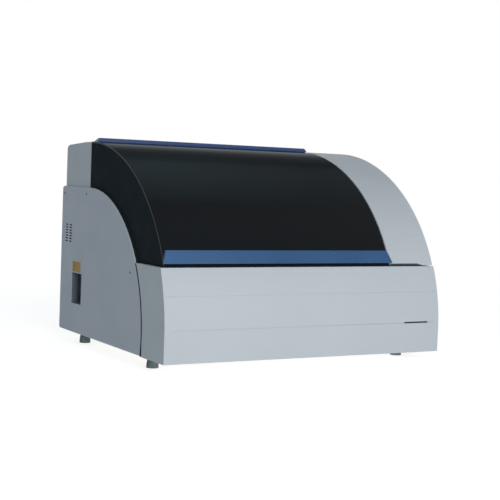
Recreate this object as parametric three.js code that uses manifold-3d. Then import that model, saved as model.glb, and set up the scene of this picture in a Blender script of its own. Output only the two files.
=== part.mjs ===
// A benchtop clinical chemistry analyzer, in millimetres, +Z up.
// A lower housing with a wrap-round front fascia and arched side panels carries a curved, tinted hood
// that swings up on two hinges at the top of a box-shaped rear cover. A fixed cowl with the hood's own
// curve covers the right end. Under the hood a deck holds a chilled reagent carousel, a reaction ring
// and a sample carousel, which a probe arm, a mixer arm and a cuvette washer serve.
// The sizes below run from the left end (x), the front plane (y) and the bench top (z). The finished
// group is moved so that its origin is at the middle of the footprint.
import * as THREE from "three";
import { mergeVertices } from "three/addons/utils/BufferGeometryUtils.js";
import Module from "manifold-3d";

const wasm = await Module();
wasm.setup();

// Driving dimensions of the casing
const DEPTH = 720;
const FOOT_HEIGHT = 30; // bench top to the underside of the housing
const BELT = 94; // height where the upright front starts to curve back
const SILL = 268; // top edge of the lower housing, under the hood
const HEADROOM = 229; // from the top of the probe's arm up to the crown of the hood's curve
const SHOULDER_DROP = 130; // from the crown down to the flat top of the side panels
const SWEEP = 528; // how far the front curve runs back, from the front plane to the crown
const GAP = 3; // visible joint between neighbouring covers
const CLEAR = 0.4; // running or fitting clearance between touching pieces
const OVERRUN = 5; // how far a cutting shape runs past what it cuts
const SKIN = 3; // moulded covers
const SHEET = 2; // folded steel sheet
const CURVE_STEPS = 40; // facets in a long casing curve
const ROUND = 32; // facets in a large disc
const SMALL_ROUND = 16; // facets in a small pin or post

// Bowls of the deck's three stations, by outer radius, with the rim that each hangs by
const REAGENT = { y: 285, bowl: 114, rim: 6, wall: 5, play: 4, floor: 140 };
const REACTION = { y: 300, bowl: 100, rim: 4, wall: 3, play: 2, floor: 195, channel: 26, islandTop: 225 };
const SAMPLE = { y: 265, bowl: 100, rim: 6, wall: 3, play: 3, floor: 165 };

// The stations stand side by side under the hood, and with the cowl beside it they set the width
const ROW = { endMargin: 30, firstGap: 4, secondGap: 2, hoodMargin: 8, cowlGap: 4, cowl: 149 };
const rimOf = ({ bowl: outer, rim }) => outer + rim;
const reagentX = ROW.endMargin + rimOf(REAGENT);
const reactionX = reagentX + rimOf(REAGENT) + ROW.firstGap + rimOf(REACTION);
const sampleX = reactionX + rimOf(REACTION) + ROW.secondGap + rimOf(SAMPLE);
const hoodRight = sampleX + rimOf(SAMPLE) + ROW.hoodMargin;
const cowlX = [hoodRight + ROW.cowlGap, hoodRight + ROW.cowlGap + ROW.cowl];
const WIDTH = cowlX[1] + GAP;

// The probe's arm is the tallest thing under the hood, so it sets the height
const PROBE = {
  inFront: 170, housing: 22, top: 268, shaft: 11, foot: 190, arm: 340, thick: 16, reach: 190,
  hub: 20, tip: 12,
};
const CROWN = PROBE.arm + PROBE.thick + HEADROOM;
const SHOULDER = CROWN - SHOULDER_DROP;

// The long curve of the front, an ellipse's quarter that stands on the belt
const curveRise = CROWN - BELT;
const SIDE = { set: 0.6, depth: 9, edge: 5, seam: 134, arcBack: 22, arcDrop: 12, corner: 9, cornerSteps: 4 };
const arcStart = BELT - SIDE.arcDrop;
const arcRise = SHOULDER - arcStart;
const arcCentre = SWEEP - SIDE.arcBack;
const arcRun = arcCentre - SIDE.seam;

// Materials
const paint = (colour, roughness, metalness = 0) =>
  new THREE.MeshStandardMaterial({ color: colour, roughness, metalness });
const MATERIAL = {
  cover: paint(0xc3c9d0, 0.55),
  side: paint(0xa9b0b8, 0.6),
  hood: paint(0x15181b, 0.12),
  blue: paint(0x3b5f96, 0.4),
  steel: paint(0x9da1a5, 0.4, 0.8),
  sheet: paint(0xb9bdc0, 0.5, 0.6),
  rubber: paint(0x2c3133, 0.9),
  black: paint(0x1d1f21, 0.5),
  deck: paint(0xd9dcdd, 0.5),
  white: paint(0xe9ebea, 0.45),
  clear: paint(0xcfdadf, 0.1),
  board: paint(0x2f6b45, 0.5),
};

// Geometry helpers
function solidOf(geometry) {
  const bare = new THREE.BufferGeometry();
  const flat = geometry.index ? geometry.toNonIndexed() : geometry;
  bare.setAttribute("position", flat.getAttribute("position"));
  const merged = mergeVertices(bare);
  const corners = merged.index.array;
  const kept = [];
  for (let i = 0; i < corners.length; i += 3) {
    const [a, b, c] = corners.slice(i, i + 3);
    if (a !== b && b !== c && c !== a) kept.push(a, b, c);
  }
  return new wasm.Manifold(
    new wasm.Mesh({
      numProp: 3,
      vertProperties: merged.attributes.position.array,
      triVerts: new Uint32Array(kept),
    }),
  );
}

function geometryOf(solid) {
  const made = solid.getMesh();
  const geometry = new THREE.BufferGeometry();
  geometry.setAttribute("position", new THREE.BufferAttribute(made.vertProperties, 3));
  geometry.setIndex(new THREE.BufferAttribute(made.triVerts, 1));
  geometry.computeVertexNormals();
  return geometry;
}

// A solid carried through a matrix, with its faces turned back outwards if the matrix mirrors it
function moved(solid, matrix) {
  const geometry = geometryOf(solid).applyMatrix4(matrix);
  if (matrix.determinant() < 0) geometry.index.array.reverse();
  return solidOf(geometry);
}

const joined = (...solids) => solids.reduce((sum, next) => sum.add(next));
const cutBy = (body, ...tools) => tools.reduce((left, tool) => left.subtract(tool), body);

function block([x0, x1], [y0, y1], [z0, z1]) {
  const box = new THREE.BoxGeometry(x1 - x0, y1 - y0, z1 - z0);
  return solidOf(box.translate((x0 + x1) / 2, (y0 + y1) / 2, (z0 + z1) / 2));
}

// A shape drawn in (y, z) and pushed along x, from x0 to x1
function alongX(points, [x0, x1]) {
  const shape = new THREE.Shape(points);
  const pushed = new THREE.ExtrudeGeometry(shape, { depth: x1 - x0, bevelEnabled: false });
  pushed.applyMatrix4(new THREE.Matrix4().set(0, 0, 1, x0, 1, 0, 0, 0, 0, 1, 0, 0, 0, 0, 0, 1));
  return solidOf(pushed);
}

// A shape drawn in (x, y) and pushed up, from z0 to z1
function alongZ(points, [z0, z1]) {
  const shape = new THREE.Shape(points);
  const pushed = new THREE.ExtrudeGeometry(shape, { depth: z1 - z0, bevelEnabled: false });
  return solidOf(pushed.translate(0, 0, z0));
}

function disc(radius, [x, y], [z0, z1], facets = ROUND, topRadius = radius) {
  const drum = new THREE.CylinderGeometry(topRadius, radius, z1 - z0, facets);
  return solidOf(drum.rotateX(Math.PI / 2).translate(x, y, (z0 + z1) / 2));
}

function rodX(radius, [x0, x1], [y, z], facets = SMALL_ROUND) {
  const rod = new THREE.CylinderGeometry(radius, radius, x1 - x0, facets);
  return solidOf(rod.rotateZ(Math.PI / 2).translate((x0 + x1) / 2, y, z));
}

function rodY(radius, [y0, y1], [x, z], facets = SMALL_ROUND) {
  const rod = new THREE.CylinderGeometry(radius, radius, y1 - y0, facets);
  return solidOf(rod.translate(x, (y0 + y1) / 2, z));
}

const point = (a, b) => new THREE.Vector2(a, b);
const grow = ([a, b], by) => [a - by, b + by];
const about = (middle, half) => [middle - half, middle + half];

// A profile drawn in (radius, z), anticlockwise, and turned about the z axis
function lathe(profile, facets = ROUND) {
  const points = profile.map(([radius, z]) => point(radius, z));
  points.push(points[0].clone());
  return solidOf(new THREE.LatheGeometry(points, facets).rotateX(Math.PI / 2));
}

// Copies of a solid, made by a function of the copy's angle, evenly round a circle
const allRound = (count, make) =>
  Array.from({ length: count }, (_, i) => make((2 * Math.PI * i) / count));
const polar = (radius, angle) => [radius * Math.cos(angle), radius * Math.sin(angle)];

// Points on the front curve between two heights, taken in by inset from the outer surface
function frontCurve(zLow, zHigh, inset = 0, steps = CURVE_STEPS) {
  const run = SWEEP - inset;
  const rise = curveRise - inset;
  const from = Math.asin(Math.max(0, zLow - BELT) / rise);
  const to = Math.asin(Math.min(1, (zHigh - BELT) / rise));
  const points = zLow < BELT ? [point(inset, zLow)] : [];
  for (let i = 0; i <= steps; i++) {
    const angle = from + ((to - from) * i) / steps;
    points.push(point(SWEEP - run * Math.cos(angle), BELT + rise * Math.sin(angle)));
  }
  return points;
}
const frontAt = (z, inset = 0) => frontCurve(Math.max(z, BELT), z, inset, 1)[0].x;

// Points on a side panel's arc between two heights, moved out by grow towards the front and the top
function sideArc(zLow, zHigh, grow = 0, steps = CURVE_STEPS / 2) {
  const run = arcRun + grow;
  const rise = arcRise + grow;
  const from = Math.asin(Math.max(0, zLow - arcStart) / rise);
  const to = Math.asin(Math.min(1, (zHigh - arcStart) / rise));
  const points = zLow < arcStart ? [point(arcCentre - run, zLow)] : [];
  for (let i = 0; i <= steps; i++) {
    const angle = from + ((to - from) * i) / steps;
    points.push(point(arcCentre - run * Math.cos(angle), arcStart + rise * Math.sin(angle)));
  }
  return points;
}

// The casing's pieces, from the bench top up
const group = new THREE.Group();
const machine = new THREE.Group();
machine.position.set(-WIDTH / 2, -DEPTH / 2, 0);
group.add(machine);

function piece(name, solid, material, parent = machine) {
  const mesh = new THREE.Mesh(geometryOf(solid), MATERIAL[material]);
  mesh.name = name;
  parent.add(mesh);
}

function station(x, y, z = 0) {
  const place = new THREE.Group();
  place.position.set(x, y, z);
  machine.add(place);
  return place;
}

// Base pan, a folded steel tray inside the covers
const PAN = { inset: 18, rear: 14, wall: 32 };
const backFace = DEPTH - PAN.rear;
const panX = [PAN.inset, WIDTH - PAN.inset];
const panY = [SKIN + CLEAR, backFace];
const panTop = FOOT_HEIGHT + SHEET;
piece(
  "base_pan",
  cutBy(
    block(panX, panY, [FOOT_HEIGHT, FOOT_HEIGHT + PAN.wall]),
    block(
      [panX[0] + SHEET, panX[1] - SHEET],
      [panY[0] + SHEET, panY[1] - SHEET],
      [panTop, FOOT_HEIGHT + PAN.wall + OVERRUN],
    ),
  ),
  "sheet",
);

// Four rubber feet under the pan
const FOOT = { radius: 16, waist: 13.5, lip: 7, inset: 38, front: 141, rear: 119, facets: 24 };
for (const [end, x] of [["left", FOOT.inset], ["right", WIDTH - FOOT.inset]]) {
  for (const [side, y] of [["front", FOOT.front], ["rear", DEPTH - FOOT.rear]]) {
    const profile = [
      [0, 0],
      [FOOT.radius, 0],
      [FOOT.radius, FOOT.lip],
      [FOOT.waist, FOOT_HEIGHT - CLEAR],
      [0, FOOT_HEIGHT - CLEAR],
    ];
    piece(`foot_${side}_${end}`, lathe(profile, FOOT.facets), "rubber", station(x, y));
  }
}

// Front fascia: a curved skin with a flank at each end and a ledge round the deck opening
const FASCIA = {
  ledge: 66,
  flankLedge: 20,
  grooveHeights: [198, 114],
  grooveInset: [0, 17],
  grooveWidth: 2,
  grooveDepth: 1.2,
  slotInset: 39,
  slotLength: 81,
  slotHeight: 4,
};
const seamEdge = sideArc(FOOT_HEIGHT, SILL, GAP);
const fasciaOutline = [...frontCurve(FOOT_HEIGHT, SILL), ...seamEdge.slice().reverse()];
const hollowRear = arcCentre;
const fasciaHollow = [
  ...frontCurve(FOOT_HEIGHT - OVERRUN, SILL - SKIN, SKIN),
  point(hollowRear, SILL - SKIN),
  point(hollowRear, FOOT_HEIGHT - OVERRUN),
];
const grooves = FASCIA.grooveHeights.map((z, i) =>
  block(
    [FASCIA.grooveInset[i] - (i ? 0 : OVERRUN), WIDTH - FASCIA.grooveInset[i] + (i ? 0 : OVERRUN)],
    [-OVERRUN, frontAt(z) + FASCIA.grooveDepth],
    [z - FASCIA.grooveWidth / 2, z + FASCIA.grooveWidth / 2],
  ),
);
const slotZ = [
  FASCIA.grooveHeights[1] - FASCIA.slotHeight / 2,
  FASCIA.grooveHeights[1] + FASCIA.slotHeight / 2,
];
const slotRight = WIDTH - FASCIA.slotInset;
const slotX = [slotRight - FASCIA.slotLength, slotRight];
piece(
  "front_fascia",
  cutBy(
    alongX(fasciaOutline, [0, WIDTH]),
    alongX(fasciaHollow, [SKIN, WIDTH - SKIN]),
    block(
      [FASCIA.flankLedge, WIDTH - FASCIA.flankLedge],
      [FASCIA.ledge, hollowRear],
      [SILL - SKIN - OVERRUN, SILL + OVERRUN],
    ),
    ...grooves,
    block(slotX, [-OVERRUN, frontAt(slotZ[1]) + SKIN + OVERRUN], slotZ),
  ),
  "cover",
);

// Status window, a dark lens strip behind the fascia's slot
const WINDOW = { overlap: 5, thick: 2.5 };
const windowFront = frontAt(slotZ[1] + WINDOW.overlap, SKIN) + CLEAR;
piece(
  "status_window",
  block(
    [slotX[0] - WINDOW.overlap, slotX[1] + WINDOW.overlap],
    [windowFront, windowFront + WINDOW.thick],
    [slotZ[0] - WINDOW.overlap, slotZ[1] + WINDOW.overlap],
  ),
  "black",
);

// Side panels: arched trays with a rounded outer edge
const VENT = { columns: 2, rows: 7, length: 21, height: 4.2, pitchY: 30, pitchZ: 8, rear: 84, drop: 161 };
const ventY = DEPTH - VENT.rear;
const ventZ = SHOULDER - VENT.drop;
// Screw bosses between each side panel and its chassis plate
const CHASSIS = { x: 15.5, inset: 8 };
const BOSS = {
  radius: 4, facets: 8, behindSeam: 83, rise: 210, behindArc: 27, drop: 19, rearDrop: 22, inset: 20,
  lowBehindSeam: 36, foot: 40,
};
const bossPlaces = [
  [SIDE.seam + BOSS.behindSeam, FOOT_HEIGHT + BOSS.rise],
  [arcCentre + BOSS.behindArc, SHOULDER - BOSS.drop],
  [DEPTH - BOSS.inset, SHOULDER - BOSS.rearDrop],
  [SIDE.seam + BOSS.lowBehindSeam, FOOT_HEIGHT + BOSS.foot],
  [DEPTH - BOSS.inset, FOOT_HEIGHT + BOSS.foot],
];
const RECESS = { rear: 168, rise: 86, width: 75, height: 89, depth: 21, wall: 2, flange: 4 };
const recessY = [DEPTH - RECESS.rear, DEPTH - RECESS.rear + RECESS.width];
const recessZ = [FOOT_HEIGHT + RECESS.rise, FOOT_HEIGHT + RECESS.rise + RECESS.height];

function cornerArc(y, z, radius, from) {
  return Array.from({ length: SIDE.cornerSteps + 1 }, (_, i) => {
    const angle = from - (Math.PI / 2) * (i / SIDE.cornerSteps);
    return point(y + radius * Math.cos(angle), z + radius * Math.sin(angle));
  });
}

function panelOutline(inset) {
  const radius = SIDE.corner - inset;
  const rear = DEPTH - SIDE.corner;
  return [
    ...sideArc(FOOT_HEIGHT + inset, SHOULDER - inset, -inset),
    ...cornerArc(rear, SHOULDER - SIDE.corner, radius, Math.PI / 2),
    ...cornerArc(rear, FOOT_HEIGHT + SIDE.corner, radius, 0),
  ];
}

function ventCuts([x0, x1]) {
  const cuts = [];
  for (let column = 0; column < VENT.columns; column++) {
    for (let row = 0; row < VENT.rows; row++) {
      const y = ventY + column * VENT.pitchY;
      const z = ventZ + row * VENT.pitchZ;
      const end = VENT.height / 2;
      const half = [-1, 0, 1].map((step) => (step * Math.PI) / 3);
      const outline = [
        ...half.map((a) => point(y + VENT.length - end + end * Math.cos(a), z + end * Math.sin(a))),
        ...half.map((a) => point(y + end - end * Math.cos(a), z - end * Math.sin(a))),
      ];
      cuts.push(alongX(outline, [x0, x1]));
    }
  }
  return cuts;
}

function sidePanel(name, mirrored, extraCuts) {
  const shape = new THREE.Shape(panelOutline(0));
  const pushed = new THREE.ExtrudeGeometry(shape, {
    depth: SIDE.depth,
    bevelThickness: SIDE.edge,
    bevelSize: SIDE.edge,
    bevelOffset: -SIDE.edge,
    bevelSegments: 3,
  });
  const toYZX = new THREE.Matrix4().set(0, 0, 1, SIDE.edge, 1, 0, 0, 0, 0, 1, 0, 0, 0, 0, 0, 1);
  const rounded = solidOf(pushed.applyMatrix4(toYZX));
  const far = SIDE.depth + SIDE.edge + SIDE.edge + OVERRUN;
  const hollowed = cutBy(
    rounded,
    block([SIDE.depth, far], [-OVERRUN, DEPTH + OVERRUN], [0, CROWN]),
    alongX(panelOutline(SHEET + SIDE.edge / 2), [SHEET, far]),
    ...ventCuts([-OVERRUN, SIDE.depth]),
    ...extraCuts,
  );
  const bossX = [SHEET / 2, CHASSIS.x - CLEAR - SIDE.set];
  const bosses = bossPlaces.map((place) => rodX(BOSS.radius, bossX, place, BOSS.facets));
  const mirror = new THREE.Matrix4().makeScale(-1, 1, 1).setPosition(WIDTH - SIDE.set, 0, 0);
  const set = new THREE.Matrix4().makeTranslation(SIDE.set, 0, 0);
  piece(name, moved(joined(hollowed, ...bosses), mirrored ? mirror : set), "side");
}
sidePanel("left_side_panel", false, [block([-OVERRUN, SIDE.depth + OVERRUN], recessY, recessZ)]);
sidePanel("right_side_panel", true, []);

// Power recess: a shallow box behind the left panel, with the rocker's frame and the inlet's hole
const linerX = [SIDE.set + SHEET + CLEAR, RECESS.depth + RECESS.wall];
const SWITCH = { width: 22, height: 30, front: 18, rise: 50, reach: 12, frame: 3, lean: 2.5, gap: 1.2 };
const INLET = { width: 50, height: 30, front: 4, rise: 8, reach: 18, wall: 3, pinRadius: 1.5, pinReach: 12 };
const inRecess = ({ front, rise, width, height }) => [
  [recessY[0] + front, recessY[0] + front + width],
  [recessZ[0] + rise, recessZ[0] + rise + height],
];
const switchOuter = inRecess(SWITCH);
const inletHole = inRecess(INLET);
const switchX = [RECESS.depth - SWITCH.frame, RECESS.depth + SWITCH.reach];
const switchInner = switchOuter.map((span) => grow(span, -SWITCH.frame));
piece(
  "power_recess",
  cutBy(
    joined(
      cutBy(
        block(linerX, grow(recessY, RECESS.flange), grow(recessZ, RECESS.flange)),
        block([0, RECESS.depth], recessY, recessZ),
        block([0, RECESS.depth + OVERRUN], ...inletHole),
      ),
      block(switchX, ...switchOuter),
    ),
    block([0, switchX[1] - SWITCH.frame], ...switchInner),
  ),
  "black",
);

// Rocker: a shallow V-shaped key that tips about a pivot across its middle
const rockerY = grow(switchInner[0], -CLEAR);
const rockerZ = grow(switchInner[1], -SWITCH.gap);
const rockerMiddle = (rockerZ[0] + rockerZ[1]) / 2;
const rockerFace = switchX[0] + CLEAR;
const rockerBack = rockerFace + SWITCH.frame + SWITCH.lean;
const rockerOutline = [
  point(rockerZ[0], rockerFace - SWITCH.lean),
  point(rockerMiddle, rockerFace),
  point(rockerZ[1], rockerFace - SWITCH.lean / 2),
  point(rockerZ[1], rockerBack),
  point(rockerZ[0], rockerBack),
];
{
  const shape = new THREE.Shape(rockerOutline);
  const pushed = new THREE.ExtrudeGeometry(shape, {
    depth: rockerY[1] - rockerY[0],
    bevelEnabled: false,
  });
  pushed.applyMatrix4(
    new THREE.Matrix4().set(0, 1, 0, 0, 0, 0, 1, rockerY[0], 1, 0, 0, 0, 0, 0, 0, 1),
  );
  piece("power_rocker", solidOf(pushed), "black");
}

// Mains inlet: a socket with three pins
const inletX = [RECESS.depth - INLET.wall, RECESS.depth + INLET.reach];
const inletOuter = inletHole.map((span) => grow(span, -CLEAR));
const inletMiddle = inletOuter.map(([a, b]) => (a + b) / 2);
const pinPitch = INLET.width / 7;
piece(
  "mains_inlet",
  joined(
    cutBy(
      block(inletX, ...inletOuter),
      block(
        [inletX[0] - OVERRUN, inletX[1] - INLET.wall],
        ...inletOuter.map((span) => grow(span, -INLET.wall)),
      ),
    ),
    ...[-1, 0, 1].map((step) =>
      rodX(
        INLET.pinRadius,
        [inletX[1] - INLET.wall - INLET.pinReach, inletX[1] - INLET.wall / 2],
        [inletMiddle[0] + step * pinPitch, inletMiddle[1]],
        8,
      ),
    ),
  ),
  "black",
);

// Chassis plates, which carry the deck, the rear cover and the hinges
const chassisBottom = FOOT_HEIGHT + CLEAR;
const chassisOutline = [
  ...sideArc(chassisBottom, SHOULDER - CHASSIS.inset, -CHASSIS.inset),
  point(backFace, SHOULDER - CHASSIS.inset),
  point(backFace, chassisBottom),
];
const chassisLeft = [CHASSIS.x, CHASSIS.x + SHEET];
const chassisRight = [WIDTH - CHASSIS.x - SHEET, WIDTH - CHASSIS.x];
const recessPassage = block(
  [0, RECESS.depth + INLET.reach + OVERRUN],
  grow(recessY, RECESS.flange + GAP),
  grow(recessZ, RECESS.flange + GAP),
);
const airPassage = block(
  [0, WIDTH],
  [ventY - GAP, ventY + VENT.pitchY + VENT.length + GAP],
  [ventZ - VENT.pitchZ, ventZ + VENT.rows * VENT.pitchZ],
);
piece("chassis_left", cutBy(alongX(chassisOutline, chassisLeft), recessPassage, airPassage), "sheet");
piece("chassis_right", cutBy(alongX(chassisOutline, chassisRight), airPassage), "sheet");

// Places of what stands on the deck and hangs from it
const DECK = { drop: 32, front: 60, lip: 2 };
const deckBottom = SILL - DECK.drop;
const deckTop = deckBottom + SKIN;
const seat = deckTop + CLEAR;
const deckX = [PAN.inset, WIDTH - PAN.inset];
const deckY = [DECK.front, SWEEP];
const lipTop = SILL - SKIN - CLEAR;
const MIXER = {
  aside: 102, behind: 140, housing: 16, top: 258, shaft: 7, foot: 200, arm: 318, thick: 12, reach: 100,
  hub: 14, tip: 10,
};
const WASH = { angle: (2 * Math.PI) / 3, offset: 46, housing: 13, top: 262, shaft: 6, foot: 205 };
const washReach = rimOf(REACTION) + WASH.offset;
const CUP = { outer: 13, inner: 9, flange: 17, depth: 34, base: 3, rim: 7 };
const probeAt = [reactionX, REACTION.y - PROBE.inFront];
const mixerAt = [reactionX + MIXER.aside, REACTION.y + MIXER.behind];
const cupAt = [probeAt[0] + PROBE.reach, probeAt[1]];
const [washX, washY] = polar(washReach, WASH.angle);

// Deck: a moulded tray with a lip all round and a hole for each station
const throughDeck = grow([deckBottom, deckTop], OVERRUN);
const deckHole = (radius, place, facets) => disc(radius + CLEAR, place, throughDeck, facets);
piece(
  "deck_plate",
  cutBy(
    block(deckX, deckY, [deckBottom, lipTop]),
    block(grow(deckX, -DECK.lip), grow(deckY, -DECK.lip), [deckTop, lipTop + OVERRUN]),
    deckHole(REAGENT.bowl, [reagentX, REAGENT.y]),
    deckHole(REACTION.bowl, [reactionX, REACTION.y]),
    deckHole(SAMPLE.bowl, [sampleX, SAMPLE.y]),
    deckHole(PROBE.shaft, probeAt, SMALL_ROUND),
    deckHole(MIXER.shaft, mixerAt, SMALL_ROUND),
    deckHole(WASH.shaft, [reactionX + washX, REACTION.y + washY], SMALL_ROUND),
    deckHole(CUP.outer, cupAt, SMALL_ROUND),
  ),
  "deck",
);

// A station's bowl, hung in the deck by its flange, with a hole for the drive shaft in its floor
const DRIVE = { size: 42, height: 44, shaft: 8, bore: 10, flangeThick: 2.5, platterGap: 5, platterThick: 4 };
const flangeTop = seat + DRIVE.flangeThick;
const bowl = ({ bowl: outer, rim, wall, floor }) =>
  lathe([
    [DRIVE.bore, floor],
    [outer, floor],
    [outer, seat],
    [outer + rim, seat],
    [outer + rim, flangeTop],
    [outer - wall, flangeTop],
    [outer - wall, floor + wall],
    [DRIVE.bore, floor + wall],
  ]);

// A platter on a drive shaft, with a hub that a hand can lift it out by
const platter = ({ bottom, level, radius, thick, hub, hubTop, knob, knobHeight }) =>
  lathe([
    [0, bottom],
    [DRIVE.shaft, bottom],
    [DRIVE.shaft, level],
    [radius, level],
    [radius, level + thick],
    [hub, level + thick],
    [hub, hubTop - knobHeight],
    [knob, hubTop - knobHeight],
    [knob, hubTop],
    [0, hubTop],
  ]);

const motor = (top) =>
  block(
    about(0, DRIVE.size / 2),
    about(0, DRIVE.size / 2),
    [top - CLEAR - DRIVE.height, top - CLEAR],
  );

// Reagent carousel: a cooled bowl with wedge-shaped bottles in a ring tray
const BOTTLES = {
  count: 18, inset: 3, length: 44, trayLip: 4, trayThick: 3, drop: 4, cap: 7, capInset: 16, capRise: 13,
  halfAngle: THREE.MathUtils.degToRad(8.8), capFacets: 6,
};
const HUB_RISE = 23; // from the deck to the top of a carousel's lifting knob
const roomIn = ({ bowl: outer, wall, play }) => outer - wall - play;
const reagentPlace = station(reagentX, REAGENT.y);
const reagentLevel = REAGENT.floor + REAGENT.wall + DRIVE.platterGap;
const trayBottom = reagentLevel + DRIVE.platterThick + CLEAR;
const bottleOuter = roomIn(REAGENT) - BOTTLES.inset;
const bottleInner = bottleOuter - BOTTLES.length;
const bottleShoulder = deckBottom - BOTTLES.drop;
const reagentHub = {
  bottom: REAGENT.floor, level: reagentLevel, radius: roomIn(REAGENT), thick: DRIVE.platterThick,
  hub: 14, hubTop: deckTop + HUB_RISE, knob: 20, knobHeight: 14,
};
piece("reagent_cooler", bowl(REAGENT), "white", reagentPlace);
piece("reagent_carousel", platter(reagentHub), "deck", reagentPlace);
piece("reagent_motor", motor(REAGENT.floor), "black", reagentPlace);

function bottle(angle) {
  const corner = (radius, turn) => point(...polar(radius, angle + turn * BOTTLES.halfAngle));
  const outline = [corner(bottleInner, -1), ...[-1, 0, 1].map((turn) => corner(bottleOuter, turn))];
  outline.push(corner(bottleInner, 1));
  return joined(
    alongZ(outline, [trayBottom, bottleShoulder]),
    disc(
      BOTTLES.cap,
      polar(bottleOuter - BOTTLES.capInset, angle),
      [bottleShoulder - BOTTLES.trayThick, bottleShoulder + BOTTLES.capRise],
      BOTTLES.capFacets,
    ),
  );
}
const bottleTray = lathe([
  [bottleInner - BOTTLES.trayLip, trayBottom],
  [reagentHub.radius, trayBottom],
  [reagentHub.radius, trayBottom + BOTTLES.trayThick],
  [bottleInner - BOTTLES.trayLip, trayBottom + BOTTLES.trayThick],
]);
piece("reagent_bottles", joined(bottleTray, ...allRound(BOTTLES.count, bottle)), "white", reagentPlace);

// Reaction ring: a ring trough, crossed below by the motor's bracket, and a wheel with its cuvettes
const CUVETTE = {
  count: 36, depth: 10, half: 4, bottom: 204, rise: 4, ringOut: 1.5, ringIn: 7, ringThick: 2.4,
};
const cuvetteOuter = roomIn(REACTION);
const cuvetteInner = cuvetteOuter - CUVETTE.depth;
const WHEEL = { drop: 4, inset: 1, rise: 9 };
const BRACKET = { half: 26, thick: 4 };
const reactionPlace = station(reactionX, REACTION.y);
const troughFloor = REACTION.floor + REACTION.wall;
const bracketBottom = REACTION.floor - BRACKET.thick;
const reactionHub = {
  bottom: bracketBottom, level: deckBottom - WHEEL.drop, radius: cuvetteInner - WHEEL.inset, thick: 3,
  hub: 12, hubTop: deckTop + WHEEL.rise, knob: 16, knobHeight: 8,
};
const island = REACTION.bowl - REACTION.channel;
const trough = lathe([
  [island, REACTION.floor],
  [REACTION.bowl, REACTION.floor],
  [REACTION.bowl, seat],
  [rimOf(REACTION), seat],
  [rimOf(REACTION), flangeTop],
  [REACTION.bowl - REACTION.wall, flangeTop],
  [REACTION.bowl - REACTION.wall, troughFloor],
  [island + REACTION.wall, troughFloor],
  [island + REACTION.wall, REACTION.islandTop],
  [island, REACTION.islandTop],
]);
const bracket = cutBy(
  block(
    about(0, REACTION.bowl - REACTION.wall),
    about(0, BRACKET.half),
    [bracketBottom, REACTION.floor + REACTION.wall / 2],
  ),
  disc(DRIVE.bore, [0, 0], grow([bracketBottom, troughFloor], OVERRUN), SMALL_ROUND),
);
piece("reaction_trough", joined(trough, bracket), "black", reactionPlace);
piece("reaction_wheel", platter(reactionHub), "steel", reactionPlace);
piece("reaction_motor", motor(bracketBottom), "black", reactionPlace);

const cuvetteBottom = reactionHub.level + reactionHub.thick + CLEAR;
const cuvetteRing = lathe([
  [cuvetteInner - CUVETTE.ringIn, cuvetteBottom],
  [cuvetteOuter + CUVETTE.ringOut, cuvetteBottom],
  [cuvetteOuter + CUVETTE.ringOut, cuvetteBottom + CUVETTE.ringThick],
  [cuvetteInner - CUVETTE.ringIn, cuvetteBottom + CUVETTE.ringThick],
]);
function cuvette(angle) {
  const corners = [
    [cuvetteInner, -CUVETTE.half],
    [cuvetteOuter, -CUVETTE.half],
    [cuvetteOuter, CUVETTE.half],
    [cuvetteInner, CUVETTE.half],
  ];
  const outline = corners.map(([x, y]) => point(x, y).rotateAround(point(0, 0), angle));
  return alongZ(outline, [CUVETTE.bottom, deckTop + CUVETTE.rise]);
}
piece("cuvette_ring", joined(cuvetteRing, ...allRound(CUVETTE.count, cuvette)), "clear", reactionPlace);

// Photometer: an optics box under the deck, against the outside of the trough
const OPTICS = { half: 30, length: 56, height: 60 };
const opticsY = REACTION.y + REACTION.bowl + CLEAR;
piece(
  "photometer",
  block(
    about(reactionX, OPTICS.half),
    [opticsY, opticsY + OPTICS.length],
    [deckBottom - CLEAR - OPTICS.height, deckBottom - CLEAR],
  ),
  "black",
);

// Sample carousel: a shallow bowl and two rings of tubes in a rack ring
const TUBES = {
  outerCount: 20, innerCount: 14, edge: 0.5, ringPitch: 22, radius: 6.5, rise: 6, facets: 6,
  rackDrop: 11, rackThick: 3, rackIn: 11, rackOut: 2,
};
const samplePlace = station(sampleX, SAMPLE.y);
const sampleLevel = SAMPLE.floor + SAMPLE.wall + DRIVE.platterGap;
const tubeBottom = sampleLevel + DRIVE.platterThick + CLEAR;
const outerTubes = roomIn(SAMPLE) - TUBES.edge - TUBES.radius;
const innerTubes = outerTubes - TUBES.ringPitch;
const rackBottom = deckBottom - TUBES.rackDrop;
const sampleHub = {
  bottom: SAMPLE.floor, level: sampleLevel, radius: roomIn(SAMPLE), thick: DRIVE.platterThick,
  hub: 12, hubTop: deckTop + HUB_RISE, knob: 18, knobHeight: 14,
};
piece("sample_tub", bowl(SAMPLE), "deck", samplePlace);
piece("sample_carousel", platter(sampleHub), "steel", samplePlace);
piece("sample_motor", motor(SAMPLE.floor), "black", samplePlace);
const tubeCircle = (count, at) =>
  allRound(count, (angle) =>
    disc(TUBES.radius, polar(at, angle), [tubeBottom, deckTop + TUBES.rise], TUBES.facets),
  );
const rack = lathe([
  [innerTubes - TUBES.rackIn, rackBottom],
  [roomIn(SAMPLE) + TUBES.rackOut, rackBottom],
  [roomIn(SAMPLE) + TUBES.rackOut, rackBottom + TUBES.rackThick],
  [innerTubes - TUBES.rackIn, rackBottom + TUBES.rackThick],
]);
piece(
  "sample_tubes",
  joined(rack, ...tubeCircle(TUBES.outerCount, outerTubes), ...tubeCircle(TUBES.innerCount, innerTubes)),
  "clear",
  samplePlace,
);

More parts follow.
